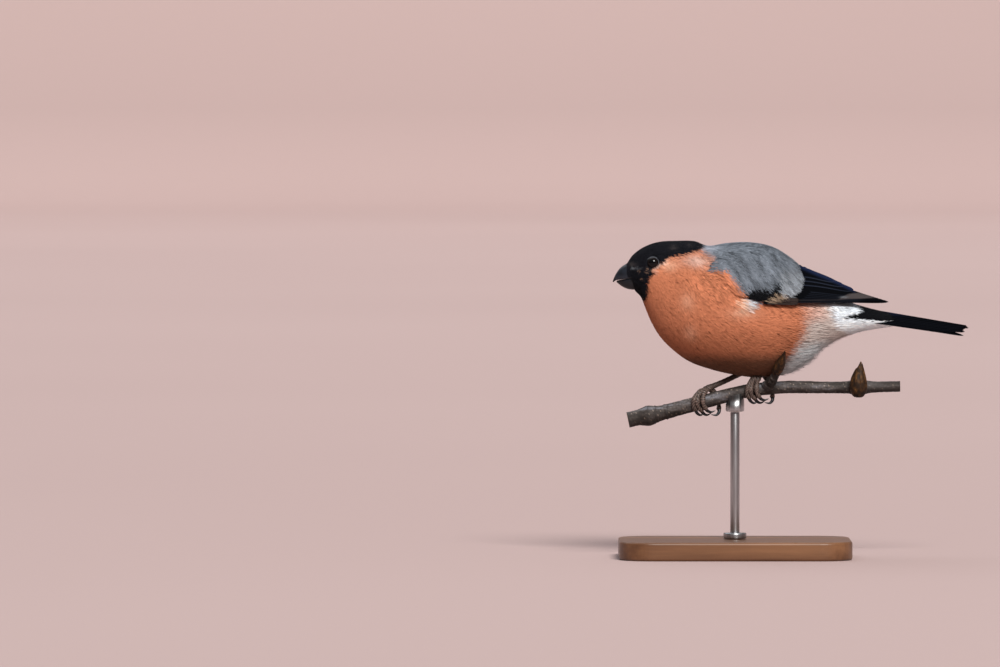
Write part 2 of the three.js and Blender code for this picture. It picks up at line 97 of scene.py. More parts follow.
# The body's rings from the bill's base to the tips of the tail coverts:
# top X and Z, bottom X and Z, half width, height of the widest level
BODY_RINGS = np.array([
    [-46.6, 126.9, -43.4, 114.9, 4.9, 0.50],
    [-43.9, 130.6, -40.6, 112.0, 7.2, 0.50],
    [-39.3, 133.9, -38.8, 107.6, 9.1, 0.53],
    [-33.1, 136.1, -36.1, 101.2, 11.2, 0.50],
    [-25.8, 136.6, -32.2, 94.8, 14.5, 0.44],
    [-17.6, 136.5, -26.7, 89.2, 18.5, 0.43],
    [-11.4, 134.5, -20.0, 84.4, 22.0, 0.43],
    [-3.0, 135.7, -11.6, 81.2, 24.5, 0.45],
    [6.5, 136.0, -0.9, 78.6, 25.5, 0.46],
    [15.9, 134.2, 10.8, 77.4, 25.0, 0.47],
    [23.6, 129.6, 21.9, 79.2, 23.0, 0.48],
    [30.5, 123.0, 30.1, 83.6, 19.5, 0.50],
    [38.6, 115.5, 38.4, 90.9, 14.2, 0.52],
    [51.0, 109.6, 51.5, 96.5, 8.6, 0.50],
    [66.5, 105.4, 69.5, 99.7, 5.0, 0.50],
]) * [MM, MM, MM, MM, MM, 1]

# Along the same rings: the coat's strand length, strand width, depth over the skin and loose tips
COAT_SIZES = np.array([
    [1.4, 0.26, 0.45, 0.10],
    [1.8, 0.28, 0.60, 0.10],
    [2.4, 0.31, 0.80, 0.12],
    [3.4, 0.38, 1.10, 0.14],
    [4.4, 0.42, 1.50, 0.16],
    [5.2, 0.44, 1.90, 0.16],
    [5.8, 0.46, 2.20, 0.16],
    [6.2, 0.47, 2.40, 0.16],
    [6.6, 0.48, 2.50, 0.24],
    [7.0, 0.48, 2.50, 0.50],
    [7.4, 0.44, 2.40, 2.40],
    [7.8, 0.44, 2.20, 3.20],
    [7.8, 0.44, 1.70, 1.40],
    [7.0, 0.45, 1.20, 0.60],
    [5.4, 0.46, 0.70, 0.20],
]) * MM

# The folded wing: X, then its upper and lower edges as distance out from the middle, and Z
WING_RINGS = np.array([
    [-12.0, 18.5, 124.0, 21.0, 115.5],
    [-5.6, 14.2, 130.0, 23.6, 110.5],
    [4.3, 11.5, 132.4, 25.4, 108.6],
    [15.0, 9.0, 131.6, 25.6, 108.7],
    [25.8, 6.0, 127.2, 23.4, 109.2],
    [34.4, 3.6, 123.2, 18.8, 109.5],
    [43.0, 2.4, 119.6, 13.0, 109.8],
    [50.3, 1.9, 116.2, 9.0, 110.3],
    [58.0, 1.8, 113.4, 6.0, 110.6],
    [65.6, 2.4, 111.3, 3.6, 110.7],
]) * MM
WING_LIFT = 1.4 * MM                  # how far its face swells out
WING_COVER = 0.75 * MM                # and how far it stays above the body at least
WING_FRONT = 12 * MM                  # it rises from the body between less and more than this X

TAIL_ROOT = 48.0 * MM
TAIL_TIP = 101.2 * MM
TAIL_NOTCH = 1.8 * MM
TAIL_NEAR_SHORTER = 3.0 * MM
TAIL_WIDTHS = (4.6, 7.4)              # in mm at its root and tip, as are the next two
TAIL_RIDGE = (108.6, 99.9)
TAIL_HANG = (4.7, 3.1)

EYE = Vector((-35.2 * MM, 6.6 * MM, 126.9 * MM))
EYE_RADIUS = 3.0 * MM
LID_RADIUS = 2.5 * MM


# Colours, as they are in the photograph's light
def colour(red, green, blue):
    """A linear colour from screen values of 0 to 255."""
    screen = np.array([red, green, blue]) / 255
    return np.where(screen <= 0.04045, screen / 12.92, ((screen + 0.055) / 1.055) ** 2.4)


BLACK_CAP = colour(18, 19, 24)
ORANGE = colour(188, 117, 85)
# The two belly colours are the breast's orange with painted shade, darkest at the belly's underside
BELLY_ORANGE_PAINTED_SHADE = colour(171, 106, 76)
BELLY_PAINTED_DEEP_SHADE = colour(102, 70, 53)
PALE_ORANGE = colour(228, 182, 154)
PALE_BLUSH = colour(240, 206, 190)
MANTLE_GREY = colour(107, 114, 123)
NAPE_GREY = colour(150, 154, 166)
PALE_GREY = colour(114, 119, 125)
PINK_BUFF = colour(206, 168, 154)
VENT_BUFF = colour(196, 184, 177)
VENT_GREY = colour(200, 208, 211)
WHITE = colour(214, 222, 230)
# A brighter, cooler white for the tail's underside: painted light in place of light from below
UNDER_WHITE_PAINTED_LIGHT = colour(242, 250, 255)
WING_BLACK = colour(10, 11, 14)
# Blue over the wing's and tail's black: their blue-black gloss, painted into the colour as a sheen
WING_BLUE_PAINTED_SHEEN = colour(30, 39, 66)
WEB_BROWN = colour(76, 70, 70)
COVERT_BROWN = colour(52, 44, 42)
CREAM = colour(146, 126, 106)


def smooth_step(low, high, value):
    """0 at one value and 1 at the other, with a smooth rise between them."""
    share = np.clip((value - low) / (high - low), 0, 1)
    return share * share * (3 - 2 * share)


def by_rows(first, last, height):
    """A smooth step in height, between two rows of the photograph's frame."""
    return smooth_step(row_z(first), row_z(last), height)


def by_columns(first, last, position):
    return smooth_step(column_x(first), column_x(last), position)


def mix(first, second, share):
    share = np.asarray(share)[..., None]
    return first * (1 - share) + second * share


def between(first, last, share):
    return first + (last - first) * share


def along_table(table, share):
    """A smooth curve through a table's rows, carried on straight past its ends."""
    padded = np.vstack([2 * table[0] - table[1], table, 2 * table[-1] - table[-2]])
    place = share * (len(table) - 1)
    row = np.clip(np.floor(place).astype(int), 0, len(table) - 2)
    inside = np.clip(place - row, 0, 1)[..., None]
    before, start, end, after = (padded[row + step] for step in range(4))
    curve = 0.5 * (2 * start + (end - before) * inside
                   + (2 * before - 5 * start + 4 * end - after) * inside ** 2
                   + (3 * start - before - 3 * end + after) * inside ** 3)
    beyond = (place - row)[..., None] - inside
    return curve + (end - start) * beyond


def body_surface(along, angle):
    """The coat's outline: angle 0 is the right flank, a quarter turn the back."""
    ring = along_table(BODY_RINGS, along)
    top = ring[..., 0:2]
    bottom = ring[..., 2:4]
    centre = bottom + (top - bottom) * ring[..., 5:6]
    height = np.sin(angle)[..., None]
    flat = centre + np.where(height > 0, top - centre, centre - bottom) * height
    out = MID + ring[..., 4] * np.cos(angle)
    return np.stack([flat[..., 0], out, flat[..., 1]], -1)


# The body's half width on a grid of the side view
GRID_X = -60 * MM
GRID_Z = 70 * MM
GRID_CELL = 0.5 * MM
GRID_COLUMNS = 300
GRID_ROWS = 160


def grid_place(position, height):
    return (position - GRID_X) / GRID_CELL, (height - GRID_Z) / GRID_CELL


def body_width_grid():
    along, angle = np.meshgrid(np.linspace(0, 1, 900), np.linspace(-0.249, 0.249, 700) * TAU)
    point = body_surface(along, angle)
    grid = np.zeros((GRID_COLUMNS, GRID_ROWS))
    column, row = (place.astype(int) for place in grid_place(point[..., 0], point[..., 2]))
    np.maximum.at(grid, (column.clip(0, GRID_COLUMNS - 1), row.clip(0, GRID_ROWS - 1)), point[..., 1] - MID)
    return grid


BODY_WIDTH = body_width_grid()
WING_EDGES = along_table(WING_RINGS, np.linspace(-0.1, 1.15, 500))


def body_out(position, height):
    """How far the body's side stands out from the middle plane, in the side view."""
    column, row = (place - 0.5 for place in grid_place(position, height))
    column, row = column.clip(0, GRID_COLUMNS - 2), row.clip(0, GRID_ROWS - 2)
    left, low = column.astype(int), row.astype(int)
    right_share, high_share = column - left, row - low
    below, above = (BODY_WIDTH[left, level] * (1 - right_share) + BODY_WIDTH[left + 1, level] * right_share
                    for level in (low, low + 1))
    return below * (1 - high_share) + above * high_share


def wing_edge(position, column):
    return np.interp(position, WING_EDGES[:, 0], WING_EDGES[:, column])


def wing_point(side, position, height, level=0.0):
    """The folded wing's face over a place of the side view, folded in over the back at its top."""
    upper_out, upper_z, lower_out, lower_z = (wing_edge(position, column) for column in range(1, 5))
    across = (upper_z - height) / np.maximum(upper_z - lower_z, 0.5 * MM)
    bend = np.sin(np.clip(across, 0, 1.3) * math.pi / 2)
    front = smooth_step(-WING_FRONT, WING_FRONT, position)
    low_edge = smooth_step(-1 * MM, 5 * MM, height - lower_z)
    cover = WING_COVER * front * (front + (1 - front) * low_edge) * (0.6 + 0.4 * low_edge)
    lift = WING_LIFT * (1 - smooth_step(30 * MM, 60 * MM, position))
    lift = lift * smooth_step(-0.05, 0.3, across) * (1 - 0.7 * smooth_step(0.4, 1, across))
    out = upper_out + (lower_out - upper_out) * bend + lift * front
    over = body_out(position, height)
    above = np.clip(height - upper_z, 0, None)
    roof = (above > 0) & (over < 1 * MM)
    out = np.maximum(out, over + cover) + level
    out = np.where(roof, np.maximum(out - above * 1.3, 0.3 * MM), out)
    height = np.where(roof, upper_z + 0.25 * above + 0.5 * level, height)
    return np.stack([position, MID + side * out, height], -1)


def wing_surface(side):
    """The same face, by the share of its length and the share down from its upper edge."""
    def place(along, across):
        ring = along_table(WING_RINGS, along)
        return wing_point(side, ring[..., 0], ring[..., 2] + (ring[..., 4] - ring[..., 2]) * across)
    return place


def surface_frame(surface, along, across, hand=1):
    """Points of a surface with their unit tangents, outward normals and metres per unit."""
    step = 0.002
    point = surface(along, across)
    ahead = surface(along + step, across) - surface(along - step, across)
    beside = surface(along, across + step) - surface(along, across - step)
    ahead_length = np.linalg.norm(ahead, axis=-1, keepdims=True) + 1e-9
    beside_length = np.linalg.norm(beside, axis=-1, keepdims=True) + 1e-9
    ahead_unit = ahead / ahead_length
    beside_unit = beside / beside_length
    normal = np.cross(beside_unit, ahead_unit) * hand
    normal /= np.linalg.norm(normal, axis=-1, keepdims=True) + 1e-9
    return point, ahead_unit, beside_unit, normal, ahead_length[..., 0] / (2 * step), \
        beside_length[..., 0] / (2 * step)


# Markings: each boundary is a line in the side view, given from high to low
def edge_line(*places):
    """A function that gives the X of a boundary at a height."""
    points = sorted((at_pixel(*place)[::-1] for place in places))
    heights = [point[0] for point in points]
    positions = [point[1] for point in points]
    return lambda height: np.interp(height, heights, positions)


cap_edge = edge_line(
    (703, 236), (703, 243), (701, 247), (694, 250), (685, 253), (673, 255), (665, 257.5), (661, 262),
    (658, 266), (652, 269.5), (652, 274), (648, 278), (648, 284), (647, 294), (644, 301), (620, 303))
grey_edge = edge_line(
    (695, 236), (698, 246), (702, 251), (710, 255), (711, 262), (711, 270), (728, 272.5), (736, 283),
    (741, 291), (748, 297), (752, 301), (900, 302.5), (990, 303))
vent_edge = edge_line(
    (805, 303), (804, 311), (804, 320), (802, 332), (798, 340), (793, 350), (787, 360), (780, 368),
    (775, 378))
white_edge = edge_line((829, 303), (829, 318), (833, 326), (842, 333), (852, 338))
rump_edge = edge_line((795, 238), (800, 262), (812, 275), (822, 290), (826, 303), (826, 380))
covert_edge = edge_line(
    (853, 300), (857, 306), (859, 311), (855, 312.5), (845, 314.5), (841, 316), (843, 317.5), (852, 318.5),
    (866, 320), (882, 321), (900, 325), (940, 327), (990, 328))


def patch(point, place, reach):
    """How strongly a soft oval patch of the side view colours a point."""
    position, height = at_pixel(*place)
    across = (point[..., 0] - position) / (reach[0] * PIXEL)
    up = (point[..., 2] - height) / (reach[1] * PIXEL)
    return np.exp(-across ** 2 - up ** 2)


# Soft patches of the body and of its cap: colour, strength, place and reach
BODY_PATCHES = (
    (PALE_ORANGE, 0.5, (667, 264), (8, 5)),
    (PALE_ORANGE, 0.3, (685, 299), (7, 8)),
    (PALE_ORANGE, 0.25, (688, 330), (6, 7)),
    (PALE_ORANGE, 0.3, (740, 311), (14, 6)),
    (VENT_BUFF, 0.5, (695, 259), (14, 6)),
    (PALE_ORANGE, 0.8, (742, 302), (7, 2.5)),
    (PALE_ORANGE, 0.6, (739, 310), (7, 2)),
)
CAP_PATCHES = (
    (WEB_BROWN, 0.5, (671.5, 246.5), (3.5, 1.6)),
    (WEB_BROWN, 0.4, (687.5, 244.5), (1.8, 1.6)),
    (WEB_BROWN, 0.55, (631, 264.5), (4, 1.8)),
    (PALE_GREY, 0.8, (633, 268.5), (5, 0.8)),
) + tuple((PALE_ORANGE, 0.6, fleck, (0.8, 0.45))
          for fleck in ((638, 271), (641.5, 280.5), (646, 268), (651, 270), (645.5, 272)))


def with_patches(shade, point, patches):
    for tint, strength, place, reach in patches:
        shade = mix(shade, tint, strength * patch(point, place, reach))
    return shade


def body_colour(point):
    """The plumage's colour at points of the body, the same on both sides, with painted shade and light."""
    across, height = point[..., 0], point[..., 2]
    # Painted shade: the orange grows darker towards the belly's underside
    shade = mix(ORANGE, BELLY_ORANGE_PAINTED_SHADE, by_rows(315, 345, height))
    shade = mix(shade, BELLY_PAINTED_DEEP_SHADE, by_rows(346, 364, height))
    shade = with_patches(shade, point, BODY_PATCHES)
    beside_cap = smooth_step(2.4 * MM, 0.9 * MM, across - cap_edge(height))
    shade = mix(shade, PALE_BLUSH, 0.75 * beside_cap * patch(point, (657, 264), (8, 7)))
    vent = across - vent_edge(height)
    high = by_rows(326, 312, height)
    pink = high * smooth_step(12 * MM, 4 * MM, vent)
    loose = mix(mix(VENT_BUFF, PINK_BUFF, pink), VENT_GREY, by_rows(336, 352, height))
    soft = (3.4 + 1.6 * high) * MM
    shade = mix(shade, loose, smooth_step(-1, 1, vent / soft))
    # Painted light: the white grows brighter and cooler towards the underside
    white = mix(np.broadcast_to(WHITE, point.shape), UNDER_WHITE_PAINTED_LIGHT, by_rows(317, 328, height))
    shade = mix(shade, white, smooth_step(-2.4 * MM, 2.4 * MM, across - white_edge(height)))
    grey = mix(MANTLE_GREY, NAPE_GREY, patch(point, (706, 246), (7, 5)))
    collar = 1.2 * MM + 1.3 * MM * by_rows(272, 266, height)
    shade = mix(shade, grey, smooth_step(-1, 1, (across - grey_edge(height)) / collar))
    rump = (height > row_z(304)) * smooth_step(-1 * MM, 1 * MM, across - rump_edge(height))
    shade = mix(shade, WHITE, rump)
    # Painted shade: grey on the white rump's sides, just below the wing tips
    rump_side_painted_shade = smooth_step(2.5 * MM, 5 * MM, np.abs(point[..., 1] - MID))
    shade = mix(shade, PALE_GREY, 0.6 * rump_side_painted_shade * patch(point, (850, 305), (8, 2.5)))
    shade = mix(shade, WING_BLACK, smooth_step(-0.4 * MM, 0.4 * MM, across - covert_edge(height)))
    cap = with_patches(BLACK_CAP, point, CAP_PATCHES)
    return mix(shade, cap, smooth_step(0.35 * MM, -0.35 * MM, across - cap_edge(height)))


def lattice(first, second, seed, period=256):
    """Smooth noise of -1 to 1 over two numbers, repeating after a period of the first."""
    table = np.random.default_rng(seed).uniform(-1, 1, (period, 256))
    whole_first, whole_second = np.floor(first), np.floor(second)
    share_first, share_second = (share * share * (3 - 2 * share)
                                 for share in (first - whole_first, second - whole_second))
    row = whole_first.astype(int) % period
    column = whole_second.astype(int) % 256
    next_row, next_column = (row + 1) % period, (column + 1) % 256
    here = table[row, column] * (1 - share_second) + table[row, next_column] * share_second
    there = table[next_row, column] * (1 - share_second) + table[next_row, next_column] * share_second
    return here * (1 - share_first) + there * share_first


LOCK_SEED = 11
HAIR_SEED = 23


def lock_noise(line, run):
    """Streaks along the lie of the coat: fine ones, and broad ones four lines wide."""
    fine = lattice(line, run / (6 * MM), LOCK_SEED)
    broad = lattice(line / 4, run / (11 * MM), LOCK_SEED + 1, 64)
    return 0.55 * fine + 0.45 * broad


# Materials
class Shader:
    """A material's node tree, built node by node."""

    def __init__(self, name):
        self.material = bpy.data.materials.new(name)
        self.material.use_nodes = True
        self.nodes = self.material.node_tree.nodes
        self.surface = self.nodes["Principled BSDF"]
        self.place = self.nodes.new("ShaderNodeTexCoord").outputs["Object"]

    def put(self, socket, value):
        """Link a socket to an output, or give it a plain value."""
        if isinstance(value, bpy.types.NodeSocket):
            self.material.node_tree.links.new(value, socket)
        else:
            socket.default_value = value

    def node(self, kind, inputs, **settings):
        made = self.nodes.new("ShaderNode" + kind)
        for name, value in settings.items():
            setattr(made, name, value)
        for name, value in inputs.items():
            self.put(made.inputs[name], value)
        return made

    def attribute(self, name):
        return self.node("Attribute", {}, attribute_name=name).outputs["Color"]

    def noise(self, scale, detail=3, stretch=None, roughness=0.5):
        vector = self.place
        if stretch:
            vector = self.node("Mapping", {"Vector": vector, "Scale": stretch}).outputs["Vector"]
        return self.node("TexNoise", {"Vector": vector, "Scale": scale, "Detail": detail,
                                      "Roughness": roughness}).outputs["Fac"]

    def math(self, operation, *values):
        return self.node("Math", dict(enumerate(values)), operation=operation).outputs[0]

    def axes(self, vector=None):
        return self.node("SeparateXYZ", {"Vector": vector or self.place}).outputs

    def channels(self, shade):
        return self.node("SeparateColor", {"Color": shade}).outputs

    def ramp(self, factor, *stops):
        made = self.node("ValToRGB", {"Fac": factor})
        elements = made.color_ramp.elements
        while len(elements) < len(stops):
            elements.new(0.5)
        for element, (position, shade) in zip(elements, stops):
            element.position = position
            element.color = (*shade, 1)
        return made.outputs["Color"]

    def scaled(self, factor, low, high, **source):
        ends = {name.replace("_", " "): end for name, end in source.items()}
        ends.update({"Value": factor, "To Min": low, "To Max": high})
        return self.node("MapRange", ends).outputs["Result"]

    def mixed(self, kind, factor, first, second):
        return self.node("Mix", {"Factor": factor, "A": first, "B": second}, data_type="RGBA",
                         blend_type=kind).outputs["Result"]

    def multiply(self, first, second):
        return self.mixed("MULTIPLY", 1.0, first, second)

    def blend(self, factor, shade, tint):
        return self.mixed("MIX", factor, shade, (*tint, 1))

    def toned(self, shade, factor, low, high, **source):
        """A colour made darker or lighter by a factor, which is first scaled."""
        value = self.scaled(factor, low, high, **source)
        grey = self.node("CombineColor", {"Red": value, "Green": value, "Blue": value}).outputs["Color"]
        return self.multiply(shade, grey)

    def finish(self, shade, bump=None, **values):
        """The material, from its colour, its bump's height, strength and depth, and more inputs."""
        if bump:
            made = self.node("Bump", dict(zip(("Height", "Strength", "Distance"), bump)))
            values["Normal"] = made.outputs["Normal"]
        for name, value in {"Base Color": shade, **values}.items():
            self.put(self.surface.inputs[name.replace("_", " ")], value)
        return self.material


def plumage_material():
    shader = Shader("plumage")
    shade = shader.toned(shader.attribute("plumage"), shader.noise(260, 4), 0.9, 1.1)
    return shader.finish(shade, (shader.noise(2400, 2), 0.15, 0.05 * MM), Roughness=0.7,
                         Sheen_Weight=0.02, Sheen_Roughness=0.5, Specular_IOR_Level=0.04)


def skin_material():
    shader = Shader("skin_under_plumage")
    shade = shader.toned(shader.attribute("plumage"), shader.noise(900, 4), 0.7, 1.1)
    return shader.finish(shade, (shader.noise(1400, 3), 0.6, 0.3 * MM), Roughness=0.9,
                         Specular_IOR_Level=0.15)


def vane_material(name, roughness):
    """A feather's vane: fine slanting barbs on each side of the shaft, from its own map."""
    shader = Shader(name)
    place = shader.axes(shader.node("UVMap", {}, uv_map="vane").outputs["UV"])
    away = shader.math("ABSOLUTE", shader.math("SUBTRACT", place["X"], 0.5))
    slant = shader.math("MULTIPLY_ADD", away, 0.5, place["Y"])
    wander = shader.scaled(shader.noise(500, 2), -1.5, 1.5)
    barbs = shader.math("SINE", shader.math("ADD", shader.math("MULTIPLY", slant, 620.0), wander))
    shade = shader.toned(shader.attribute("plumage"), barbs, 0.82, 1.1)
    return shader.finish(shade, (barbs, 0.35, 0.05 * MM), Roughness=roughness, Specular_IOR_Level=0.0)


def horn_material():
    shader = Shader("horn")
    shade = shader.ramp(shader.noise(420, 4, (1, 0.35, 1)), (0.3, colour(12, 14, 19)),
                        (0.62, colour(26, 32, 42)), (0.8, colour(46, 48, 54)))
    # Painted shade: darker below the bill's cutting edge, along the mouth's line and over the lower
    # mandible; the claws lie lower still and take the darker tone all over
    shade = shader.toned(shade, shader.axes()["Z"], 0.35, 1.0, From_Min=119.2 * MM, From_Max=119.8 * MM)
    return shader.finish(shade, (shader.noise(1100, 3), 0.2, 0.1 * MM), Specular_IOR_Level=0.4,
                         Roughness=shader.scaled(shader.noise(900, 3), 0.28, 0.45))


def eye_material():
    shader = Shader("eye")
    shade = shader.toned(shader.attribute("iris"), shader.noise(1800, 3), 0.6, 1.3)
    return shader.finish(shade, Roughness=0.08, Specular_IOR_Level=0.22)


def lid_material():
    shader = Shader("bare_lid")
    shade = shader.ramp(shader.noise(1500, 3), (0.3, colour(36, 38, 42)), (0.7, colour(72, 76, 82)))
    return shader.finish(shade, (shader.noise(2600, 2), 0.3, 0.05 * MM), Roughness=0.6,
                         Specular_IOR_Level=0.2)


def leg_material():
    shader = Shader("leg_scales")
    shade = shader.ramp(shader.noise(600, 4), (0.3, colour(38, 30, 27)), (0.6, colour(72, 58, 52)),
                        (0.8, colour(106, 88, 80)))
    cells = shader.node("TexVoronoi", {"Vector": shader.place, "Scale": 1300.0},
                        feature="DISTANCE_TO_EDGE").outputs["Distance"]
    shade = shader.toned(shade, cells, 0.88, 1.08)
    shade = shader.blend(shader.channels(shader.attribute("scute"))["Red"], shade, colour(176, 152, 140))
    return shader.finish(shade, (cells, 0.35, 0.1 * MM), Roughness=0.5, Specular_IOR_Level=0.35)


def bark_material():
    shader = Shader("bark")
    shade = shader.ramp(shader.noise(230, 6, (0.25, 1, 1), 0.65), (0.3, colour(28, 23, 21)),
                        (0.46, colour(56, 48, 44)), (0.58, colour(88, 82, 81)),
                        (0.72, colour(134, 136, 146)))
    shade = shader.toned(shade, shader.noise(60, 3), 0.55, 0.95)
    marks_and_painted_shade = shader.channels(shader.attribute("speck"))
    shade = shader.blend(marks_and_painted_shade["Red"], shade, colour(160, 146, 134))
    shade = shader.blend(marks_and_painted_shade["Green"], shade, colour(36, 30, 28))
    # Painted shade: the bark darkens towards the twig's underside
    painted_underside_shade = shader.ramp(marks_and_painted_shade["Blue"], (0.0, (0.34, 0.29, 0.26)), (0.5, (0.8, 0.76, 0.73)),
                            (1.0, (1.0, 1.0, 1.0)))
    shade = shader.multiply(shade, painted_underside_shade)
    shade = shader.toned(shade, shader.noise(1100, 4), -0.1, 2.1)
    return shader.finish(shade, (shader.noise(900, 6, (0.35, 1, 1), 0.7), 0.8, 0.35 * MM), Roughness=0.7,
                         Specular_IOR_Level=0.35)


def cut_material():
    """The cut ends' year rings, round the twig's own middle line."""
    shader = Shader("cut_wood")
    place = shader.axes()
    slope = (TWIG[-1, 2] - TWIG[0, 2]) / (TWIG[-1, 0] - TWIG[0, 0])
    centre = TWIG[0, 2] - slope * TWIG[0, 0]
    height = shader.math("SUBTRACT", shader.math("MULTIPLY_ADD", place["X"], -slope, place["Z"]), centre)
    flat = shader.node("CombineXYZ", {"Y": place["Y"], "Z": height}).outputs["Vector"]
    rings = shader.node("TexWave", {"Vector": flat, "Scale": 420.0, "Distortion": 1.2, "Detail": 2.0},
                        wave_type="RINGS", rings_direction="X").outputs["Fac"]
    shade = shader.ramp(rings, (0.2, colour(176, 148, 112)), (0.9, colour(206, 182, 146)))
    return shader.finish(shade, (shader.noise(1500, 3), 0.3, 0.1 * MM), Roughness=0.8)


def bud_material():
    shader = Shader("bud_scales")
    fibre = shader.noise(680, 5, (1, 1, 0.5), 0.65)
    shade = shader.ramp(fibre, (0.3, colour(18, 11, 7)), (0.48, colour(36, 23, 12)),
                        (0.62, colour(70, 46, 22)), (0.8, colour(138, 98, 50)))
    shade = shader.multiply(shade, shader.attribute("rim"))
    return shader.finish(shade, (fibre, 0.5, 0.2 * MM), Roughness=0.6, Specular_IOR_Level=0.2)


def wood_material():
    shader = Shader("stand_wood")
    grain = shader.noise(95, 6, (0.07, 1, 1), 0.6)
    pores = shader.noise(900, 2, (0.05, 1, 1))
    shade = shader.ramp(grain, (0.28, colour(66, 42, 27)), (0.5, colour(96, 63, 41)),
                        (0.72, colour(126, 87, 58)))
    shade = shader.toned(shade, shader.noise(18, 3, (0.25, 1, 1)), 0.8, 1.2)
    shade = shader.toned(shade, pores, 0.82, 1.1)
    return shader.finish(shade, (pores, 0.15, 0.05 * MM), Roughness=shader.scaled(grain, 0.3, 0.46),
                         Specular_IOR_Level=0.4)


def steel_material():
    shader = Shader("brushed_steel")
    lines = shader.noise(1500, 2, (1, 1, 0.03))
    shade = shader.ramp(lines, (0.3, colour(150, 151, 153)), (0.7, colour(188, 189, 191)))
    return shader.finish(shade, (lines, 0.06, 0.02 * MM), Roughness=shader.scaled(lines, 0.26, 0.4),
                         Metallic=1.0)


# Pieces
def add_object(name, data):
    made = bpy.data.objects.new(name, data)
    bpy.context.scene.collection.objects.link(made)
    return made


def finish_piece(name, mesh, materials, slot, nodes=(), smooth=True):
    """Put a mesh on the model as a piece of it."""
    mesh.name = name
    piece = add_object(name, mesh)
    for material in materials:
        mesh.materials.append(material)
    mesh.shade_smooth() if smooth else mesh.shade_flat()
    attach(piece, "root")
    if nodes:
        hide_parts(*nodes)


def point_values(mesh, name, values):
    """Store a colour for each point of a mesh."""
    layer = mesh.color_attributes.new(name, "FLOAT_COLOR", "POINT")
    rgba = np.ones((len(mesh.vertices), 4), np.float32)
    rgba[:, :3] = values
    layer.data.foreach_set("color", rgba.ravel())


def read_vectors(items, name, width=3):
    values = np.empty(len(items) * width)
    items.foreach_get(name, values)
    return values.reshape(-1, width)


def mesh_points(mesh):
    return read_vectors(mesh.vertices, "co")


def corner_points(mesh):
    """The number of the point at each corner of the faces."""
    numbers = np.empty(len(mesh.loops), int)
    mesh.loops.foreach_get("vertex_index", numbers)
    return numbers


def mesh_from(bm):
    """A mesh with its faces turned outwards."""
    bmesh.ops.recalc_face_normals(bm, faces=bm.faces)
    mesh = bpy.data.meshes.new("piece")
    bm.to_mesh(mesh)
    bm.free()
    return mesh


def around(first, second, angle):
    """Unit steps at an angle in the plane of two directions."""
    return first * np.cos(angle)[:, None] + second * np.sin(angle)[:, None]


def wrapped_ball(bm, sides, rows, place):
    """Add a sphere whose points are moved to place(along, angle, is_pole).

    Gives each point's place along the shape and its angle round it.
    """
    made = bmesh.ops.create_uvsphere(bm, u_segments=sides, v_segments=rows, radius=1)["verts"]
    unit = np.array([vert.co[:] for vert in made])
    row = np.round(np.arccos(np.clip(unit[:, 2], -1, 1)) / math.pi * rows)
    angle = np.arctan2(unit[:, 1], unit[:, 0])
    pole = (row == 0) | (row == rows)
    along = np.clip((row - 1) / (rows - 2), 0, 1)
    for vert, point in zip(made, place(along, angle, pole)):
        vert.co = point
    return along, angle


def tube_frames(points, steps):
    """Even places along a smooth curve, with two unit directions across it at each."""
    fine = along_table(np.array(points), np.linspace(0, 1, 400))
    length = np.concatenate([[0], np.cumsum(np.linalg.norm(np.diff(fine, axis=0), axis=1))])
    even = np.linspace(0, length[-1], steps)
    centre = np.stack([np.interp(even, length, fine[:, axis]) for axis in range(3)], -1)
    ahead = np.gradient(centre, axis=0)
    ahead /= np.linalg.norm(ahead, axis=1, keepdims=True)
    across = np.empty_like(centre)
    guide = np.array([0.0, 1.0, 0.0]) if abs(ahead[0, 1]) < 0.9 else np.array([0.0, 0.0, 1.0])
    for step in range(steps):
        guide = guide - ahead[step] * guide.dot(ahead[step])
        guide /= np.linalg.norm(guide)
        across[step] = guide
    return centre, across, np.cross(ahead, across)


def wrapped_tube(bm, points, sides, rows, radius_at):
    """Add a closed tube along a curve: radius_at(along, angle) gives its radius."""
    centre, across, up = tube_frames(points, rows - 1)

    def place(along, angle, pole):
        step = np.round(along * (rows - 2)).astype(int)
        radius = np.where(pole, 0, radius_at(along, angle))[:, None]
        return centre[step] + radius * around(across[step], up[step], angle)
    return wrapped_ball(bm, sides, rows, place)


# The OFBake map: most of its width is the body's, the rest arms and legs
BODY_MAP = 0.9
STRIP_MAP = 0.92
STRIP_WIDTH = 0.07


def wrap_map(mesh, places):
    """Store that map, closed across the body's seam."""
    layer = mesh.uv_layers.new(name="OFBake")
    corners = places[corner_points(mesh)]
    half = BODY_MAP / 2
    for polygon in mesh.polygons:
        part = slice(polygon.loop_start, polygon.loop_start + polygon.loop_total)
        if np.ptp(corners[part, 0]) > half:
            corners[part, 0] += np.where(corners[part, 0] < half, BODY_MAP, 0)
    layer.data.foreach_set("uv", (corners * [0.99, 1]).ravel())


# The coat: strands that lie in small feathers over a surface
STRAND_SHARES = (0.0, 0.34, 0.72, 1.0)
STRAND_SECTIONS = (1.0, 0.72)
STRAND_ROUND = 0.45
STRAND_RIDGE = 0.18
STRAND_RISE = 2.4
SHORTEST = 0.25 * MM
FEATHER_FAN = 0.16
LOCK_SLOPE = 0.24
LOCK_LIFT = 0.05 * MM
LOCK_SHIFT = 0.7 * MM
PATCH = 1.5 * MM
LIE_SEED = 7

# How uneven the strands' tone is: by feather, by strand, by lock and by hair, and the share of pale ones
FEATHER_TONE = 0.03
STRAND_TONE = 0.07
LOCK_TONE = 0.24
HAIR_TONE = 0.2
PALE_SHARE = 0.03
PALE_TONE = 0.25
TONE_RANGE = (0.25, 2)

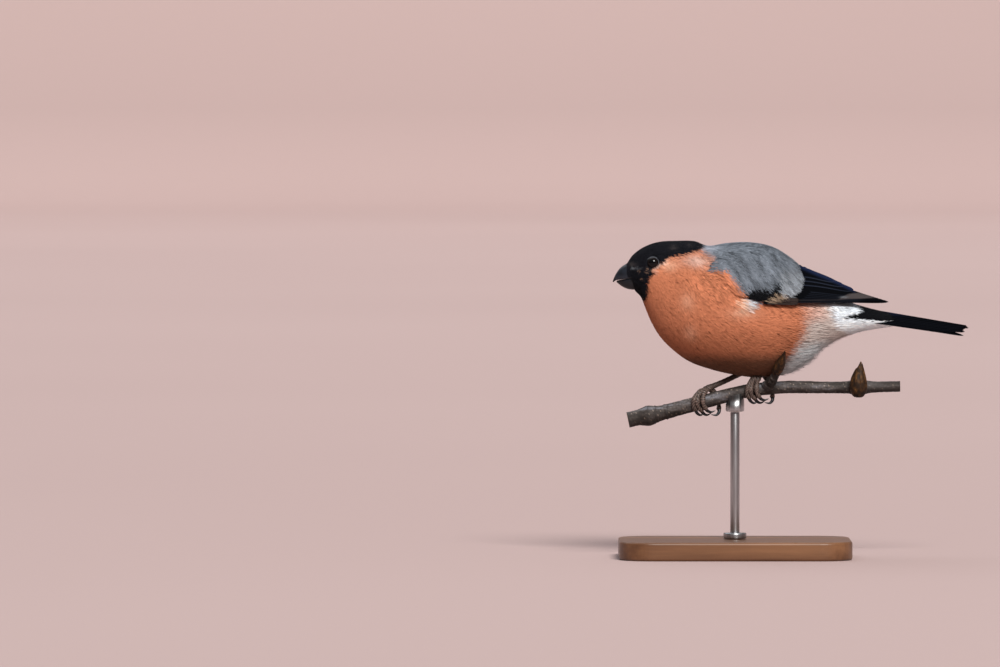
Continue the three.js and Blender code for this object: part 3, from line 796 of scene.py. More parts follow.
# One strand's faces, two pointed ends joined by a three-sided stretch, and its points on its map
STRAND_CORNERS = np.array([0, 2, 3, 0, 3, 1, 0, 1, 2,
                           1, 3, 6, 4, 3, 2, 5, 6, 2, 1, 4, 5,
                           7, 6, 5, 7, 4, 6, 7, 5, 4])
STRAND_FACES = np.array([3, 3, 3, 4, 4, 4, 3, 3, 3])
STRAND_MAP = np.array([[0, -1], [-1, -0.3], [1, -0.3], [0, -0.3], [-1, 0.4], [1, 0.4], [0, 0.4], [0, 1]])


def spread_evenly(surface, along_range, across_range, count, density_at, generator):
    """Places spread evenly over a surface, closer together where the density is higher."""
    cells = 240
    edges = [np.linspace(*ends, cells + 1) for ends in (along_range, across_range)]
    middles = [(edge[1:] + edge[:-1]) / 2 for edge in edges]
    grids = [grid.ravel() for grid in np.meshgrid(*middles, indexing="ij")]
    _, _, _, _, ahead, beside = surface_frame(surface, *grids)
    total = np.cumsum(ahead * beside * density_at(grids[0]))
    picks = (np.arange(count) + generator.uniform(0, 1, count)) * total[-1] / count
    chosen = np.searchsorted(total, picks).clip(0, len(total) - 1)
    jitter = generator.uniform(-0.5, 0.5, (2, count))
    spans = [(high - low) / cells for low, high in (along_range, across_range)]
    return [grid[chosen] + shift * span for grid, shift, span in zip(grids, jitter, spans)]


def strand_piece(name, strands, material, slot):
    """Put strands on the model, from their points, colours, places on the map and normals."""
    points, colours, root_map, normals = strands
    count = len(colours)
    corners = (STRAND_CORNERS + 8 * np.arange(count)[:, None]).ravel()
    sizes = np.tile(STRAND_FACES, count)
    mesh = bpy.data.meshes.new(name)
    mesh.vertices.add(count * 8)
    mesh.vertices.foreach_set("co", points.ravel())
    mesh.loops.add(len(corners))
    mesh.loops.foreach_set("vertex_index", corners.astype(np.int32))
    mesh.polygons.add(len(sizes))
    starts = np.concatenate([[0], np.cumsum(sizes)[:-1]])
    mesh.polygons.foreach_set("loop_start", starts.astype(np.int32))
    mesh.update(calc_edges=True)
    point_values(mesh, "plumage", colours.reshape(-1, 3))
    place = (root_map[:, None, :] + STRAND_MAP * PATCH).reshape(-1, 2)
    layer = mesh.uv_layers.new(name="OFBake")
    layer.data.foreach_set("uv", place[corners].ravel())
    mesh.shade_smooth()
    mesh.normals_split_custom_set_from_vertices(normals.reshape(-1, 3))
    finish_piece(name, mesh, [material], slot)


def grow_strands(surface, along, across, size, generator, colour_of, lines_of, map_at, turn_at, keep,
                 hand=1, tufts=10, root_shade=0.72, sink=0.25 * MM, limit=None, contrast=1.0,
                 wander=0.4 * MM):
    """Strands in feathers rooted at the given places: points, colours, map places and normals."""
    feather = np.repeat(np.arange(len(along)), tufts)
    count = len(feather)
    length, width, depth, loose = (column[feather] for column in size.T)
    _, _, _, _, ahead, beside = (value[feather] for value in surface_frame(surface, along, across))
    share_across = generator.uniform(-1, 1, count)
    long = length * (1 - 0.25 * share_across ** 2) * generator.uniform(0.85, 1.1, count)
    root_along = along[feather] + generator.uniform(-0.35, 0.05, count) * long / ahead
    root_across = across[feather] + share_across * 0.3 * length / beside
    direction = (turn_at(root_along, root_across) + FEATHER_FAN * share_across
                 + generator.normal(0, 0.05, count))
    root = surface(root_along, root_across)
    if limit is not None:
        heading = surface(root_along + 0.3 * long / ahead, root_across) - root
        long = limit(root, heading, long)
    tip = surface(root_along + long * np.cos(direction) / ahead,
                  root_across + long * np.sin(direction) / beside)
    kept = (long > SHORTEST) & keep(root, tip)
    line, run = lines_of(root_along, root_across)
    lock = lock_noise(line, run)
    hair = lattice(2 * line, run / (3.5 * MM), HAIR_SEED, 512)
    slope = (lock_noise(line + 0.4, run) - lock_noise(line - 0.4, run)) * LOCK_SLOPE
    lift = 0.03 * MM * generator.uniform(0, 1, len(along))[feather] + LOCK_LIFT * lock
    lift = lift + loose * generator.uniform(0, 1, count) ** 3
    contrast = np.broadcast_to(contrast, len(along))[feather]
    uneven = generator.normal(0, FEATHER_TONE, len(along))[feather]
    uneven = uneven + generator.normal(0, STRAND_TONE, count)
    pale = np.where(generator.uniform(0, 1, count) < PALE_SHARE, PALE_TONE, 0)
    tone = np.clip(1 + pale + contrast * (uneven + LOCK_TONE * lock + HAIR_TONE * hair), *TONE_RANGE)
    shift = LOCK_SHIFT * lock
    long, direction, depth, width, ahead, beside, lift = (
        value[kept] for value in (long, direction, depth, width, ahead, beside, lift))
    tone, slope, shift, root_along, root_across, root, tip = (
        value[kept] for value in (tone, slope, shift, root_along, root_across, root, tip))
    centres, sides, normals = [], [], []
    for share in STRAND_SHARES:
        point, forward, sideways, normal, _, _ = surface_frame(
            surface, root_along + share * long * np.cos(direction) / ahead,
            root_across + share * long * np.sin(direction) / beside, hand)
        height = -depth * (1 - share) ** STRAND_RISE + lift * share ** 2 - sink
        centres.append(point + normal * height[:, None])
        across_unit = np.cross(normal, around(forward, sideways, direction))
        sides.append(across_unit / np.linalg.norm(across_unit, axis=1, keepdims=True))
        normals.append(normal)
    half = 0.5 * width[:, None]
    points = np.empty((len(long), 8, 3))
    leaning = np.empty((len(long), 8, 3))
    lean = slope[:, None]
    for corner, at in ((0, 0), (7, 3)):
        points[:, corner] = centres[at]
        leaning[:, corner] = normals[at] - sides[at] * lean
    for at, swell in enumerate(STRAND_SECTIONS, 1):
        first = 3 * at - 2
        points[:, first] = centres[at] + sides[at] * half * swell
        points[:, first + 1] = centres[at] - sides[at] * half * swell
        points[:, first + 2] = centres[at] + normals[at] * half * STRAND_RIDGE * swell
        for corner, turned in enumerate((STRAND_ROUND, -STRAND_ROUND, 0)):
            leaning[:, first + corner] = normals[at] + sides[at] * (turned - lean)
    leaning /= np.linalg.norm(leaning, axis=2, keepdims=True)
    moved = generator.normal(0, wander, (len(long), 3)) + (tip - root) / long[:, None] * shift[:, None]
    base = colour_of(root + moved, tip + moved) * tone[:, None]
    fade = np.array([root_shade] + [0.5 + 0.5 * root_shade] * 3 + [1.0] * 3 + [1.05])
    colours = np.clip(base[:, None, :] * fade[None, :, None], 0, 1)
    return points, colours, map_at(root_along, root_across), leaning


def body_map(along, angle):
    return np.stack([(angle / TAU) % 1 * BODY_MAP, np.clip(along, 0, 1)], -1)


def coat_limit(root, heading, long):
    """Strands stop short of the eye that they run towards."""
    for side in (LEFT, RIGHT):
        eye = np.array([EYE.x, MID + side * (EYE.y + 2.0 * MM), EYE.z])
        to_eye = eye - root
        distance = np.linalg.norm(to_eye, axis=1)
        towards = (to_eye * heading).sum(1) > 0
        room = np.where(towards, distance - LID_RADIUS - 0.1 * MM, long)
        long = np.where(distance < LID_RADIUS + 0.15 * MM, 0, np.minimum(long, room))
    return long


def under_wing(point):
    """Whether a place on the body is well under a folded wing."""
    position, height = point[:, 0], point[:, 2]
    inside = (height < wing_edge(position, 2) - 2.5 * MM) & (height > wing_edge(position, 4) + 1 * MM)
    inside &= (position > grey_edge(height) + 3 * MM) & (position < 62 * MM)
    return inside & (np.abs(point[:, 1] - MID) > 3 * MM)


def body_density(along):
    """How closely the feathers stand: closest on the face."""
    return np.interp(along, [0, 0.14, 0.3, 0.5, 0.8, 1], [8.0, 5.0, 2.6, 1.8, 1.8, 2.4])


RING_SHARES = np.linspace(0, 1, len(BODY_RINGS))
RING_MIDDLES = (BODY_RINGS[:, 0:2] + BODY_RINGS[:, 2:4]) / 2
RING_RUN = np.concatenate([[0], np.cumsum(np.linalg.norm(np.diff(RING_MIDDLES, axis=0), axis=1))])
BREAST_TURN = 0.4
MANTLE_TURN = 0.5
FLANK_TURN = 0.25


def turn_strength(along, angle):
    """How far strands turn down from the body's line on its side: most on the breast and mantle."""
    breast = np.exp(-((along - 0.4) / 0.2) ** 2)
    mantle = np.exp(-((along - 0.6) / 0.2) ** 2) * np.clip(np.sin(angle), 0, 1)
    flank = smooth_step(0.2, 0.45, along) * smooth_step(1.0, 0.7, along)
    return BREAST_TURN * breast + MANTLE_TURN * mantle + FLANK_TURN * flank


def body_turn(along, angle):
    return -np.cos(angle) * turn_strength(along, angle)


def body_lines(along, angle):
    """The number of the line that a strand lies on, and its place along the body."""
    stops = np.linspace(0, 1, 60)
    run = np.interp(stops, RING_SHARES, RING_RUN)
    girth = np.interp(stops, RING_SHARES, BODY_RINGS[:, 4])
    bends = []
    for level in (0.0, 1.0):
        slope = np.tan(turn_strength(stops, np.full(60, level * math.pi / 2))) / girth
        bends.append(np.concatenate([[0], np.cumsum((slope[1:] + slope[:-1]) / 2 * np.diff(run))]))
    upper = np.clip(np.sin(angle), 0, 1)
    bend = np.interp(along, stops, bends[0]) * (1 - upper) + np.interp(along, stops, bends[1]) * upper
    return (angle + np.cos(angle) * bend) / TAU * 256, np.interp(along, RING_SHARES, RING_RUN)


def body_contrast(along, angle):
    """How uneven the strands' tone is: most on the mantle and the white rump."""
    mantle = smooth_step(0.32, 0.42, along) * smooth_step(0.1, 0.5, np.sin(angle))
    rump = smooth_step(0.82, 0.9, along) * smooth_step(-0.5, 0, np.sin(angle))
    return 0.45 + 1.4 * np.maximum(mantle, rump)


COAT_REGIONS = (
    ("coat_cap", "black_plumage", lambda point, along: point[:, 0] < cap_edge(point[:, 2])),
    ("coat_throat", "orange_plumage", lambda point, along: along < 0.33),
    ("coat_mantle", "grey_plumage", lambda point, along: point[:, 0] > grey_edge(point[:, 2])),
    ("coat_breast", "orange_plumage", lambda point, along: along < 0.5),
    ("coat_belly", "orange_plumage", lambda point, along: along < 0.68),
    ("coat_vent", "white_plumage", lambda point, along: along <= 2.0),
)
BODY_FEATHERS = 9600
BRISTLES = 260
BRISTLE_SIZE = np.array([2.3, 0.2, 0.3, 0.25]) * MM
FLUFF_FEATHERS = 4200
FLUFF_SIZE = np.array([6.4, 0.3, 1.0, 0.3]) * MM


def body_strands(along, angle, size, generator, colour_of, turn, keep, **details):
    return grow_strands(body_surface, along, angle, size, generator, colour_of, body_lines, body_map,
                        turn, keep, **details)


def body_coat(generator, material):
    """The coat of head and body, in pieces by region."""
    along, angle = spread_evenly(body_surface, (0.0, 0.985), (0, TAU), BODY_FEATHERS, body_density,
                                 generator)
    size = along_table(COAT_SIZES, along)
    size[:, 3] *= 0.3 + 0.7 * np.clip(-np.sin(angle), 0, 1)
    strands = body_strands(
        along, angle, size, generator, lambda root, tip: body_colour(0.4 * root + 0.6 * tip), body_turn,
        keep=lambda root, tip: ~under_wing(root) & ~under_wing(tip), limit=coat_limit,
        contrast=body_contrast(along, angle), root_shade=0.82)
    roots, places = strands[0][:, 0], strands[2]
    left = np.ones(len(roots), bool)
    for name, slot, belongs in COAT_REGIONS:
        chosen = left & belongs(roots, places[:, 1])
        left &= ~chosen
        for side, half in (("left", roots[:, 1] < MID), ("right", roots[:, 1] >= MID)):
            part = [value[chosen & half] for value in strands]
            strand_piece(f"{name}_{side}", part, material, slot)


def side_places(generator, count, raised_range, along_range):
    """Random places on both sides of the body, by their angle up from the middle of its side."""
    side = generator.choice([LEFT, RIGHT], count)
    raised = generator.uniform(*raised_range, count)
    along = generator.uniform(*along_range, count)
    return along, np.where(side == RIGHT, raised, math.pi - raised)


def bristles(generator, material):
    """Short stiff feathers that lie forward over the bill's base and hide the nostrils."""
    def shade(root, tip):
        brown = patch(tip, (630, 264), (4, 2.5))
        return mix(np.broadcast_to(BLACK_CAP * 1.5, tip.shape), WEB_BROWN, 0.6 * brown)

    along, angle = side_places(generator, BRISTLES, (0.02, 1.25), (0.0, 0.03))
    strands = body_strands(
        along, angle, np.tile(BRISTLE_SIZE, (BRISTLES, 1)), generator, shade,
        lambda at, turn: np.full(len(at), math.pi), keep=lambda root, tip: np.full(len(root), True),
        tufts=3, sink=0.1 * MM)
    strand_piece("bristles", strands, material, "black_plumage")


def wing_fluff(generator, material):
    """Long white down that spills over the flank from under the wing's front end."""
    def shade(root, tip):
        low = by_rows(304, 308, tip[:, 2])
        front = by_columns(754, 747, tip[:, 0])
        return mix(mix(np.broadcast_to(WHITE, tip.shape), PALE_ORANGE, 0.6 * low), PALE_ORANGE, front)

    along, angle = side_places(generator, FLUFF_FEATHERS, (-0.3, 0.9), (0.5, 0.75))
    closeness = patch(body_surface(along, angle), (743, 301), (6.5, 2.0))
    chosen = generator.uniform(0, 0.6, FLUFF_FEATHERS) < closeness
    strands = body_strands(
        along[chosen], angle[chosen], np.tile(FLUFF_SIZE, (chosen.sum(), 1)), generator, shade,
        lambda at, turn: -0.3 * np.cos(turn), keep=lambda root, tip: ~under_wing(tip), tufts=3,
        sink=0.0, contrast=1.6)
    strand_piece("wing_fluff", strands, material, "white_plumage")


# The skin that carries the coat
SKIN_SHADE = 0.72
LEG_STRIP = 0.34
STRIP_STEP = 0.05


def skin_piece(material, leg_finish):
    """One skin under the coat: the body, the folded arms and the legs."""
    bm = bmesh.new()
    maps, scutes = [], []

    def note(shape, left, low, wide, high, scute=0):
        """Keep the map of a shape that was added, and the pale edges of its scales."""
        along, angle = shape
        maps.append(np.stack([left + wide * (angle / TAU % 1), low + high * along], -1))
        scutes.append(np.clip(scute * (3 * (along * LEG_SCALES % 1) - 2), 0, 1))

    def body_place(along, angle, pole):
        point, _, _, normal, _, _ = surface_frame(body_surface, along, angle)
        depth = along_table(COAT_SIZES, along)[:, 2:3]
        centre = (body_surface(along, angle) + body_surface(along, angle + math.pi)) / 2
        return np.where(pole[:, None], centre, point - normal * depth)

    note(wrapped_ball(bm, 128, 160, body_place), 0, 0, BODY_MAP, 1)
    for number, side in enumerate((LEFT, RIGHT)):
        note(wrapped_ball(bm, 24, 60, arm_place(side)), STRIP_MAP, 0.16 * number, STRIP_WIDTH, 0.15)
    flesh_faces = len(bm.faces)
    strip = LEG_STRIP
    for leg in LEGS.values():
        for shape, scute in leg_shapes(bm, leg):
            note(shape, STRIP_MAP, strip, STRIP_WIDTH, 0.9 * STRIP_STEP, scute)
            strip += STRIP_STEP
    mesh = mesh_from(bm)
    points = mesh_points(mesh)
    tone = np.ones(len(points))
    tone[:len(maps[0])] += 0.13 * lock_noise(*body_lines(maps[0][:, 1], maps[0][:, 0] / BODY_MAP * TAU))
    point_values(mesh, "plumage", body_colour(points) * SKIN_SHADE * tone[:, None])
    point_values(mesh, "scute", np.repeat(np.concatenate(scutes)[:, None], 3, axis=1))
    wrap_map(mesh, np.concatenate(maps))
    for polygon in mesh.polygons:
        polygon.material_index = int(polygon.index >= flesh_faces)
    nodes = ["head", "neck", "breast", "belly", "back", "rump", "vent", "tail_coverts"]
    nodes += [f"{part}_{side}" for part in ("thigh", "shank", "foot", "wing") for side in ("left", "right")]
    finish_piece("skin", mesh, [material, leg_finish], "orange_plumage", nodes)


ARM_LENGTH = 0.55
ARM_INSET = 1.8 * MM
ARM_THICKNESS = 0.7 * MM


def arm_place(side):
    """The folded arm's flesh, a flat form just inside the wing's outer face."""
    surface = wing_surface(side)

    def place(along, angle, pole):
        across = np.where(pole, 0.5, (1 - np.cos(angle)) / 2 * 0.9 + 0.05)
        point = surface(along * ARM_LENGTH, across)
        inset = ARM_INSET - ARM_THICKNESS * np.where(pole, 0, np.sin(angle))
        return point - np.array([0, side, 0]) * inset[:, None]
    return place


# Legs and feet, close to the solids
TOE_RADIUS = 1.25 * MM
TOE_TIP_RADIUS = 0.9 * MM
TOE_LIFT = 0.22
SHANK_RADIUS = 1.12 * MM
CLAW_RADIUS = 0.82 * MM
LEG_SCALES = 13
LEGS = {
    "left": {"heel": (25.2, -4.4, 86.0), "root": (11.4, -1.3, 79.3), "ring": 72.2, "grip": 3.85},
    "right": {"heel": (4.9, 7.2, 80.3), "root": (-11.6, 0.9, 72.9), "ring": 67.35, "grip": 4.25},
}
TOES = {
    "toe1": {"spread": 4.6, "around": -2.45, "bow": 1.6},
    "toe2": {"spread": -3.6, "around": 2.45, "bow": -4.0},
    "toe3": {"spread": -0.9, "around": 2.65, "bow": -4.2},
    "toe4": {"spread": 1.8, "around": 2.35, "bow": -3.4},
}


def toe_path(leg, toe):
    """From the toe's root out over the twig, round it and back below."""
    root_x, root_y, root_z = leg["root"]
    grip = leg["grip"] + TOE_LIFT
    points = [[root_x, root_y, root_z]]
    for share in np.linspace(0.2, 1, 5):
        angle = toe["around"] * (0.18 + 0.82 * share)
        bow = toe["bow"] * math.sin(min(abs(angle), math.pi))
        settle = max(0, 1 - share * 2.2)
        points.append([
            root_x + toe["spread"] * share ** 0.6 * (1 - 0.2 * share) + bow,
            -grip * math.sin(angle) + root_y * settle,
            leg["ring"] + grip * math.cos(angle) + (root_z - leg["ring"] - grip) * settle,
        ])
    return np.array(points) * MM


def claw_path(leg, toe):
    """On from the toe's end: a long hook below the twig, along it and up again."""
    path = toe_path(leg, toe)
    end, before = path[-1], path[-2]
    start = end - (end - before) / np.linalg.norm(end - before) * 0.5 * MM
    if toe["bow"] > 0:
        steps = [[0.1, -0.3, -1.2], [-1.1, -0.8, -2.5], [-3.3, -1.2, -2.3]]
    else:
        drop = 1.1 - 0.12 * toe["spread"]
        steps = [[0.7, 0.5, -1.0 * drop], [2.3, 0.9, -1.6 * drop], [4.1, 1.1, -0.9 * drop]]
    return np.array([start, *(end + np.array(step) * MM for step in steps)])


def scale_rings(along, count, depth):
    """Overlapping rings of scales: each swells and drops back at its edge."""
    return 1 + depth * ((along * count) % 1 - 0.5)


def toe_radius(along, angle):
    taper = TOE_RADIUS + (TOE_TIP_RADIUS - TOE_RADIUS) * along
    pads = 1 + 0.16 * np.cos(along * 3 * TAU + 0.6)
    return taper * pads * scale_rings(along, LEG_SCALES, 0.1)


def shank_radius(along, angle):
    swell = 1 + 0.4 * (2 * along - 1) ** 4
    front = 1 + 0.12 * np.cos(angle)
    return SHANK_RADIUS * swell * front * scale_rings(along, 9, 0.08)


def claw_radius(along, angle):
    return CLAW_RADIUS * (1 - 0.85 * along ** 1.5) * (1 + 0.2 * np.cos(angle))


def leg_shapes(bm, leg):
    """Add a shank with its broad scales, a small pad and four ringed toes."""
    root, heel = (np.array(leg[name]) * MM for name in ("root", "heel"))
    middle = (root + heel) / 2 - [0, 0, 0.25 * MM]

    def pad_place(along, angle, pole):
        tilt = along * math.pi
        ring = np.where(pole, 0, np.sin(tilt * 0.96 + 0.02 * math.pi))
        unit = np.stack([ring * np.cos(angle), ring * np.sin(angle), np.cos(tilt)], -1)
        return root + np.array([-0.3, 0, -0.2]) * MM + unit * (np.array([2.1, 1.6, 1.3]) * MM)

    yield wrapped_tube(bm, [root, middle, heel], 24, 90, shank_radius), 0.2
    yield wrapped_ball(bm, 20, 14, pad_place), 0.3
    for toe in TOES.values():
        yield wrapped_tube(bm, toe_path(leg, toe), 20, 106, toe_radius), 0.75


def claw_pieces(material):
    for side, leg in LEGS.items():
        bm = bmesh.new()
        for toe in TOES.values():
            wrapped_tube(bm, claw_path(leg, toe), 14, 26, claw_radius)
        nodes = [f"claw_{side}_{toe}" for toe in TOES]
        finish_piece(f"claws_{side}", mesh_from(bm), [material], "horn", nodes)


# The bill and the eyes
UPPER_BILL = np.array([
    [-42.9, 126.8, -40.2, 120.4, 4.2],
    [-46.3, 126.6, -43.0, 120.2, 4.5],
    [-49.2, 124.8, -46.2, 120.0, 3.8],
    [-51.1, 122.3, -49.2, 119.7, 2.6],
    [-52.2, 120.0, -51.2, 119.3, 1.2],
    [-52.6, 118.7, -52.2, 118.6, 0.35],
]) * MM
LOWER_BILL = np.array([
    [-40.2, 120.3, -41.8, 115.2, 3.9],
    [-43.4, 120.15, -45.6, 115.5, 3.9],
    [-46.4, 119.93, -48.2, 116.5, 3.1],
    [-48.9, 119.62, -49.9, 117.7, 2.0],
    [-50.7, 119.2, -51.0, 118.6, 0.7],
]) * MM


def bill_place(rings, widest):
    """Half of the bill: a ring of two arcs that meet at its cutting edge."""
    def place(along, angle, pole):
        ring = along_table(rings, along)
        rise = np.sin(angle)
        height = np.where(rise > 0, widest + (1 - widest) * rise, widest * (1 + rise))
        height = np.where(pole, 0.5, height)
        flat = ring[:, 2:4] + (ring[:, 0:2] - ring[:, 2:4]) * height[:, None]
        lean = np.sign(np.cos(angle)) * np.abs(np.cos(angle)) ** 0.8
        out = MID + np.where(pole, 0, ring[:, 4] * lean)
        return np.stack([flat[:, 0], out, flat[:, 1]], -1)
    return place


def bill_pieces(material):
    for name, rings, widest in (("bill_upper", UPPER_BILL, 0.03), ("bill_lower", LOWER_BILL, 0.97)):
        bm = bmesh.new()
        wrapped_ball(bm, 48, 40, bill_place(rings, widest))
        finish_piece(f"{name}_horn", mesh_from(bm), [material], "horn", [name])


def eye_pieces(eye_finish, lid_finish):
    """A wet dark ball and a thin ring of bare lid round it."""
    for name, side in (("left", LEFT), ("right", RIGHT)):
        centre = np.array([EYE.x, MID + side * EYE.y, EYE.z])
        outward = eye_axis(side)
        bm = bmesh.new()
        bmesh.ops.create_uvsphere(bm, u_segments=48, v_segments=32, radius=EYE_RADIUS)
        bmesh.ops.translate(bm, verts=bm.verts, vec=Vector(centre))
        mesh = mesh_from(bm)
        facing = (mesh_points(mesh) - centre) @ outward / EYE_RADIUS
        pupil = smooth_step(0.86, 0.9, facing)
        point_values(mesh, "iris", mix(colour(17, 12, 10), colour(5, 5, 6), pupil))
        finish_piece(f"eye_ball_{name}", mesh, [eye_finish], "eye", [f"eye_{name}"])
        bm = bmesh.new()
        wrapped_ball(bm, 56, 14, lid_place(centre, outward))
        finish_piece(f"eyelid_{name}", mesh_from(bm), [lid_finish], "black_plumage")


def eye_axis(side):
    """The way the eye looks: out, and a little forward and up."""
    axis = np.array([-0.2, side * 0.97, 0.1])
    return axis / np.linalg.norm(axis)


def lid_place(centre, outward):
    """A rounded rim that lies on the eyeball, as a ball drawn out into a ring."""
    first = np.cross(outward, [0, 0, 1])
    first /= np.linalg.norm(first)
    second = np.cross(outward, first)

    def place(along, angle, pole):
        turn = along * math.pi * 1.25 - 0.3
        radius = LID_RADIUS - 0.14 * MM + 0.62 * MM * (1 - np.cos(turn)) / 2
        rise = 1.75 * MM + 0.3 * MM * np.sin(turn) - 1.1 * MM * along ** 2
        radius = np.where(pole & (along < 0.5), 2.0 * MM, radius)
        rise = np.where(pole & (along < 0.5), 1.4 * MM, rise)
        oval = 1 + 0.05 * np.cos(2 * angle)
        ring_point = around(first, second, angle) * (radius * oval)[:, None]
        outer = outward * np.where(pole, 0.5 * MM, rise)[:, None]
        return centre + np.where(pole[:, None], 0, ring_point) + outer
    return place


# Flight feathers, coverts and tail feathers, each a thin cambered vane
VANE_THICKNESS = 0.1 * MM
VANE_SINK = 0.9 * MM
VANE_TILT = 0.25 * MM                 # each vane's lower edge lies over the next one below it


def add_vane(bm, rows, columns, place, thickness=VANE_THICKNESS):
    """Add one vane: a grid shaped by place(along, across), with a real thickness."""
    made = bmesh.ops.create_grid(bm, x_segments=columns, y_segments=rows, size=1)["verts"]
    flat = np.array([vert.co[:] for vert in made])
    across, along = flat[:, 0], (flat[:, 1] + 1) / 2
    layer = bm.loops.layers.uv.get("vane") or bm.loops.layers.uv.new("vane")
    own_place = dict(zip(made, zip(across / 2 + 0.5, along)))
    for vert, point in zip(made, place(along, across)):
        vert.co = point
    faces = list({face for vert in made for face in vert.link_faces})
    for face in faces:
        for loop in face.loops:
            loop[layer].uv = own_place[loop.vert]
    bmesh.ops.solidify(bm, geom=faces, thickness=thickness)


def vanes_made(bm):
    """The mesh of some vanes, its points, and their places across their vanes from 0 to 1."""
    mesh = mesh_from(bm)
    across = np.zeros(len(mesh.vertices))
    across[corner_points(mesh)] = read_vectors(mesh.uv_layers["vane"].data, "uv", 2)[:, 0]
    return mesh, mesh_points(mesh), across


def vane_width(along, tip):
    """The half width's share: a quick swell, even sides and a rounded or pointed tip."""
    swell = 1 - np.exp(-along / 0.07)
    return swell * np.sqrt(np.clip(1 - along ** tip, 0, 1))


def wing_vane(side, root, tip, half_width, tip_power, level, sag, root_dip):
    """A vane that lies on the wing's face between two places of the side view."""
    root, tip = np.array(at_pixel(*root)), np.array(at_pixel(*tip))
    line = tip - root
    ahead = line / np.linalg.norm(line)
    square = np.array([-ahead[1], ahead[0]])

    def place(along, across):
        centre = root + along[:, None] * line + square * (sag * np.sin(along * math.pi))[:, None]
        half = half_width * vane_width(along, tip_power)
        flat = centre + square * (across * half)[:, None]
        camber = 0.1 * half * (1 - across ** 2) - VANE_TILT * across
        dip = root_dip * smooth_step(0.4, 0.1, along)
        return wing_point(side, flat[:, 0], flat[:, 1], level + camber - VANE_SINK - dip)
    return place


# Count, first and last root, first and last tip, half widths, tip power, level and sag in mm
FLIGHT_FEATHERS = (
    (9, (790, 297.5), (798, 288), (888.5, 301.8), (858, 293.5), (1.4, 2.0), 3.5, -0.3, 0.4),
    (7, (776, 299), (786, 285), (838, 299.5), (851, 292.5), (1.5, 2.1), 9, 0.0, 0.5),
    (3, (782, 279), (782, 270), (853.5, 289.5), (836, 280), (2.2, 2.4), 7, 0.25, 1.3),
)
COVERT_FEATHERS = (
    (3, (768, 301), (774, 297), (797, 302), (797.5, 298.5), (1.0, 1.1), 6, 0.35, 0.2),
    (5, (744, 292), (756, 286), (776, 300), (782, 291), (1.6, 1.9), 6, 0.0, 0.2),
    (4, (762, 301), (772, 296), (776, 302), (789, 297), (0.9, 1.1), 6, 0.3, 0.2),
    (7, (768, 288), (779, 269), (793, 295), (803, 277), (1.7, 2.1), 6, -0.5, 0.9),
)
LEVEL_STEP = 0.05


def wing_vanes(side, feathers, rows, root_dip):
    """All the vanes of a table, each lying a little higher than the last."""
    bm = bmesh.new()
    for count, *ends, widths, power, lowest, sag in feathers:
        root_a, root_b, tip_a, tip_b = np.array(ends)
        for number in range(count):
            share = number / (count - 1)
            add_vane(bm, rows, 8, wing_vane(
                side, between(root_a, root_b, share), between(tip_a, tip_b, share),
                between(*widths, share) * MM, power, (lowest + LEVEL_STEP * number) * MM, sag * MM,
                root_dip))
    return vanes_made(bm)


def flight_feathers(side_name, side, material):
    """Primaries, secondaries and tertials in their folded stack."""
    mesh, points, across = wing_vanes(side, FLIGHT_FEATHERS, 34, 1.1 * MM)
    position, height = points[:, 0], points[:, 2]
    # Painted sheen: blue along the folded wing's upper part, where the gloss shows
    blue = smooth_step(-1.6 * MM, 0.2 * MM, height - (wing_edge(position, 2) - 0.6 * MM))
    shade = mix(WING_BLACK, WING_BLUE_PAINTED_SHEEN, 0.9 * (blue * (position < 52 * MM)))
    upper = 0.35 + 0.65 * by_rows(294, 288, height)
    rim = by_columns(868, 852, position) * upper
    shade = mix(shade, colour(46, 52, 66), 0.75 * rim * smooth_step(0.12, 0.04, across))
    below = smooth_step(0.5 * MM, -0.3 * MM, height - web_top(position))
    web = below * smooth_step(-0.3 * MM, 0.3 * MM, height - web_bottom(position))
    shade = mix(shade, WEB_BROWN, 0.9 * web)
    shade = mix(shade, PALE_GREY, 0.9 * patch(points, (843.5, 296.8), (3.5, 0.8)))
    point_values(mesh, "plumage", shade)
    finish_piece(f"flight_feathers_{side_name}", mesh, [material], "flight_feathers",
                 [f"flight_{side_name}"])


def covert_feathers(side_name, side, material):
    """Greater coverts with broad pale ends, over black primary coverts."""
    mesh, points, across = wing_vanes(side, COVERT_FEATHERS, 22, 0.0)
    edges = smooth_step(0.75, 0.25, across) - 0.75 * smooth_step(0.14, 0.02, across)
    point_values(mesh, "plumage", wing_colour(points) * (0.6 + 0.55 * edges)[:, None])
    finish_piece(f"covert_feathers_{side_name}", mesh, [material], "grey_plumage")


def outline(*places):
    """A function that gives the Z of a boundary at a position."""
    points = [at_pixel(*place) for place in places]
    return lambda position: np.interp(position, *zip(*points))


black_top = outline((744, 297), (749, 295), (753, 291), (760, 289.5), (771, 291.5), (776, 288), (781, 284.5))
web_top = outline((838, 299.5), (840, 298), (848, 294), (858, 293), (866, 293.6), (876, 297.5))
web_bottom = outline((838, 299.4), (846, 298.6), (860, 298.4), (876, 297.6))
black_bottom = outline((744, 297), (752, 299), (762, 300), (771, 299.5), (776, 296), (781, 291.5))
cream_top = outline((764, 302), (768, 300), (774, 298.3), (778, 295.2), (784, 295.5), (791, 297.5))
brown_top = outline((760, 302), (768, 301.5), (775, 302), (783, 299.8), (790, 296.8), (798, 296.5))
panel_right = edge_line(
    (801, 262), (801, 270.5), (802.5, 274), (805, 279.5), (803.5, 285), (801, 291), (796, 295), (790, 297.5),
    (790, 304))

# Painted shade on the wing: a shadow beside the pale panel and shade below the mantle and above the black;
# how much darker, where and their reach
WING_PAINTED_SHADOWS = (
    (0.62, (775.5, 285), (4.2, 6)),
    (0.4, (760, 287), (12, 4)),
    (0.25, (748, 273), (15, 8)),
)


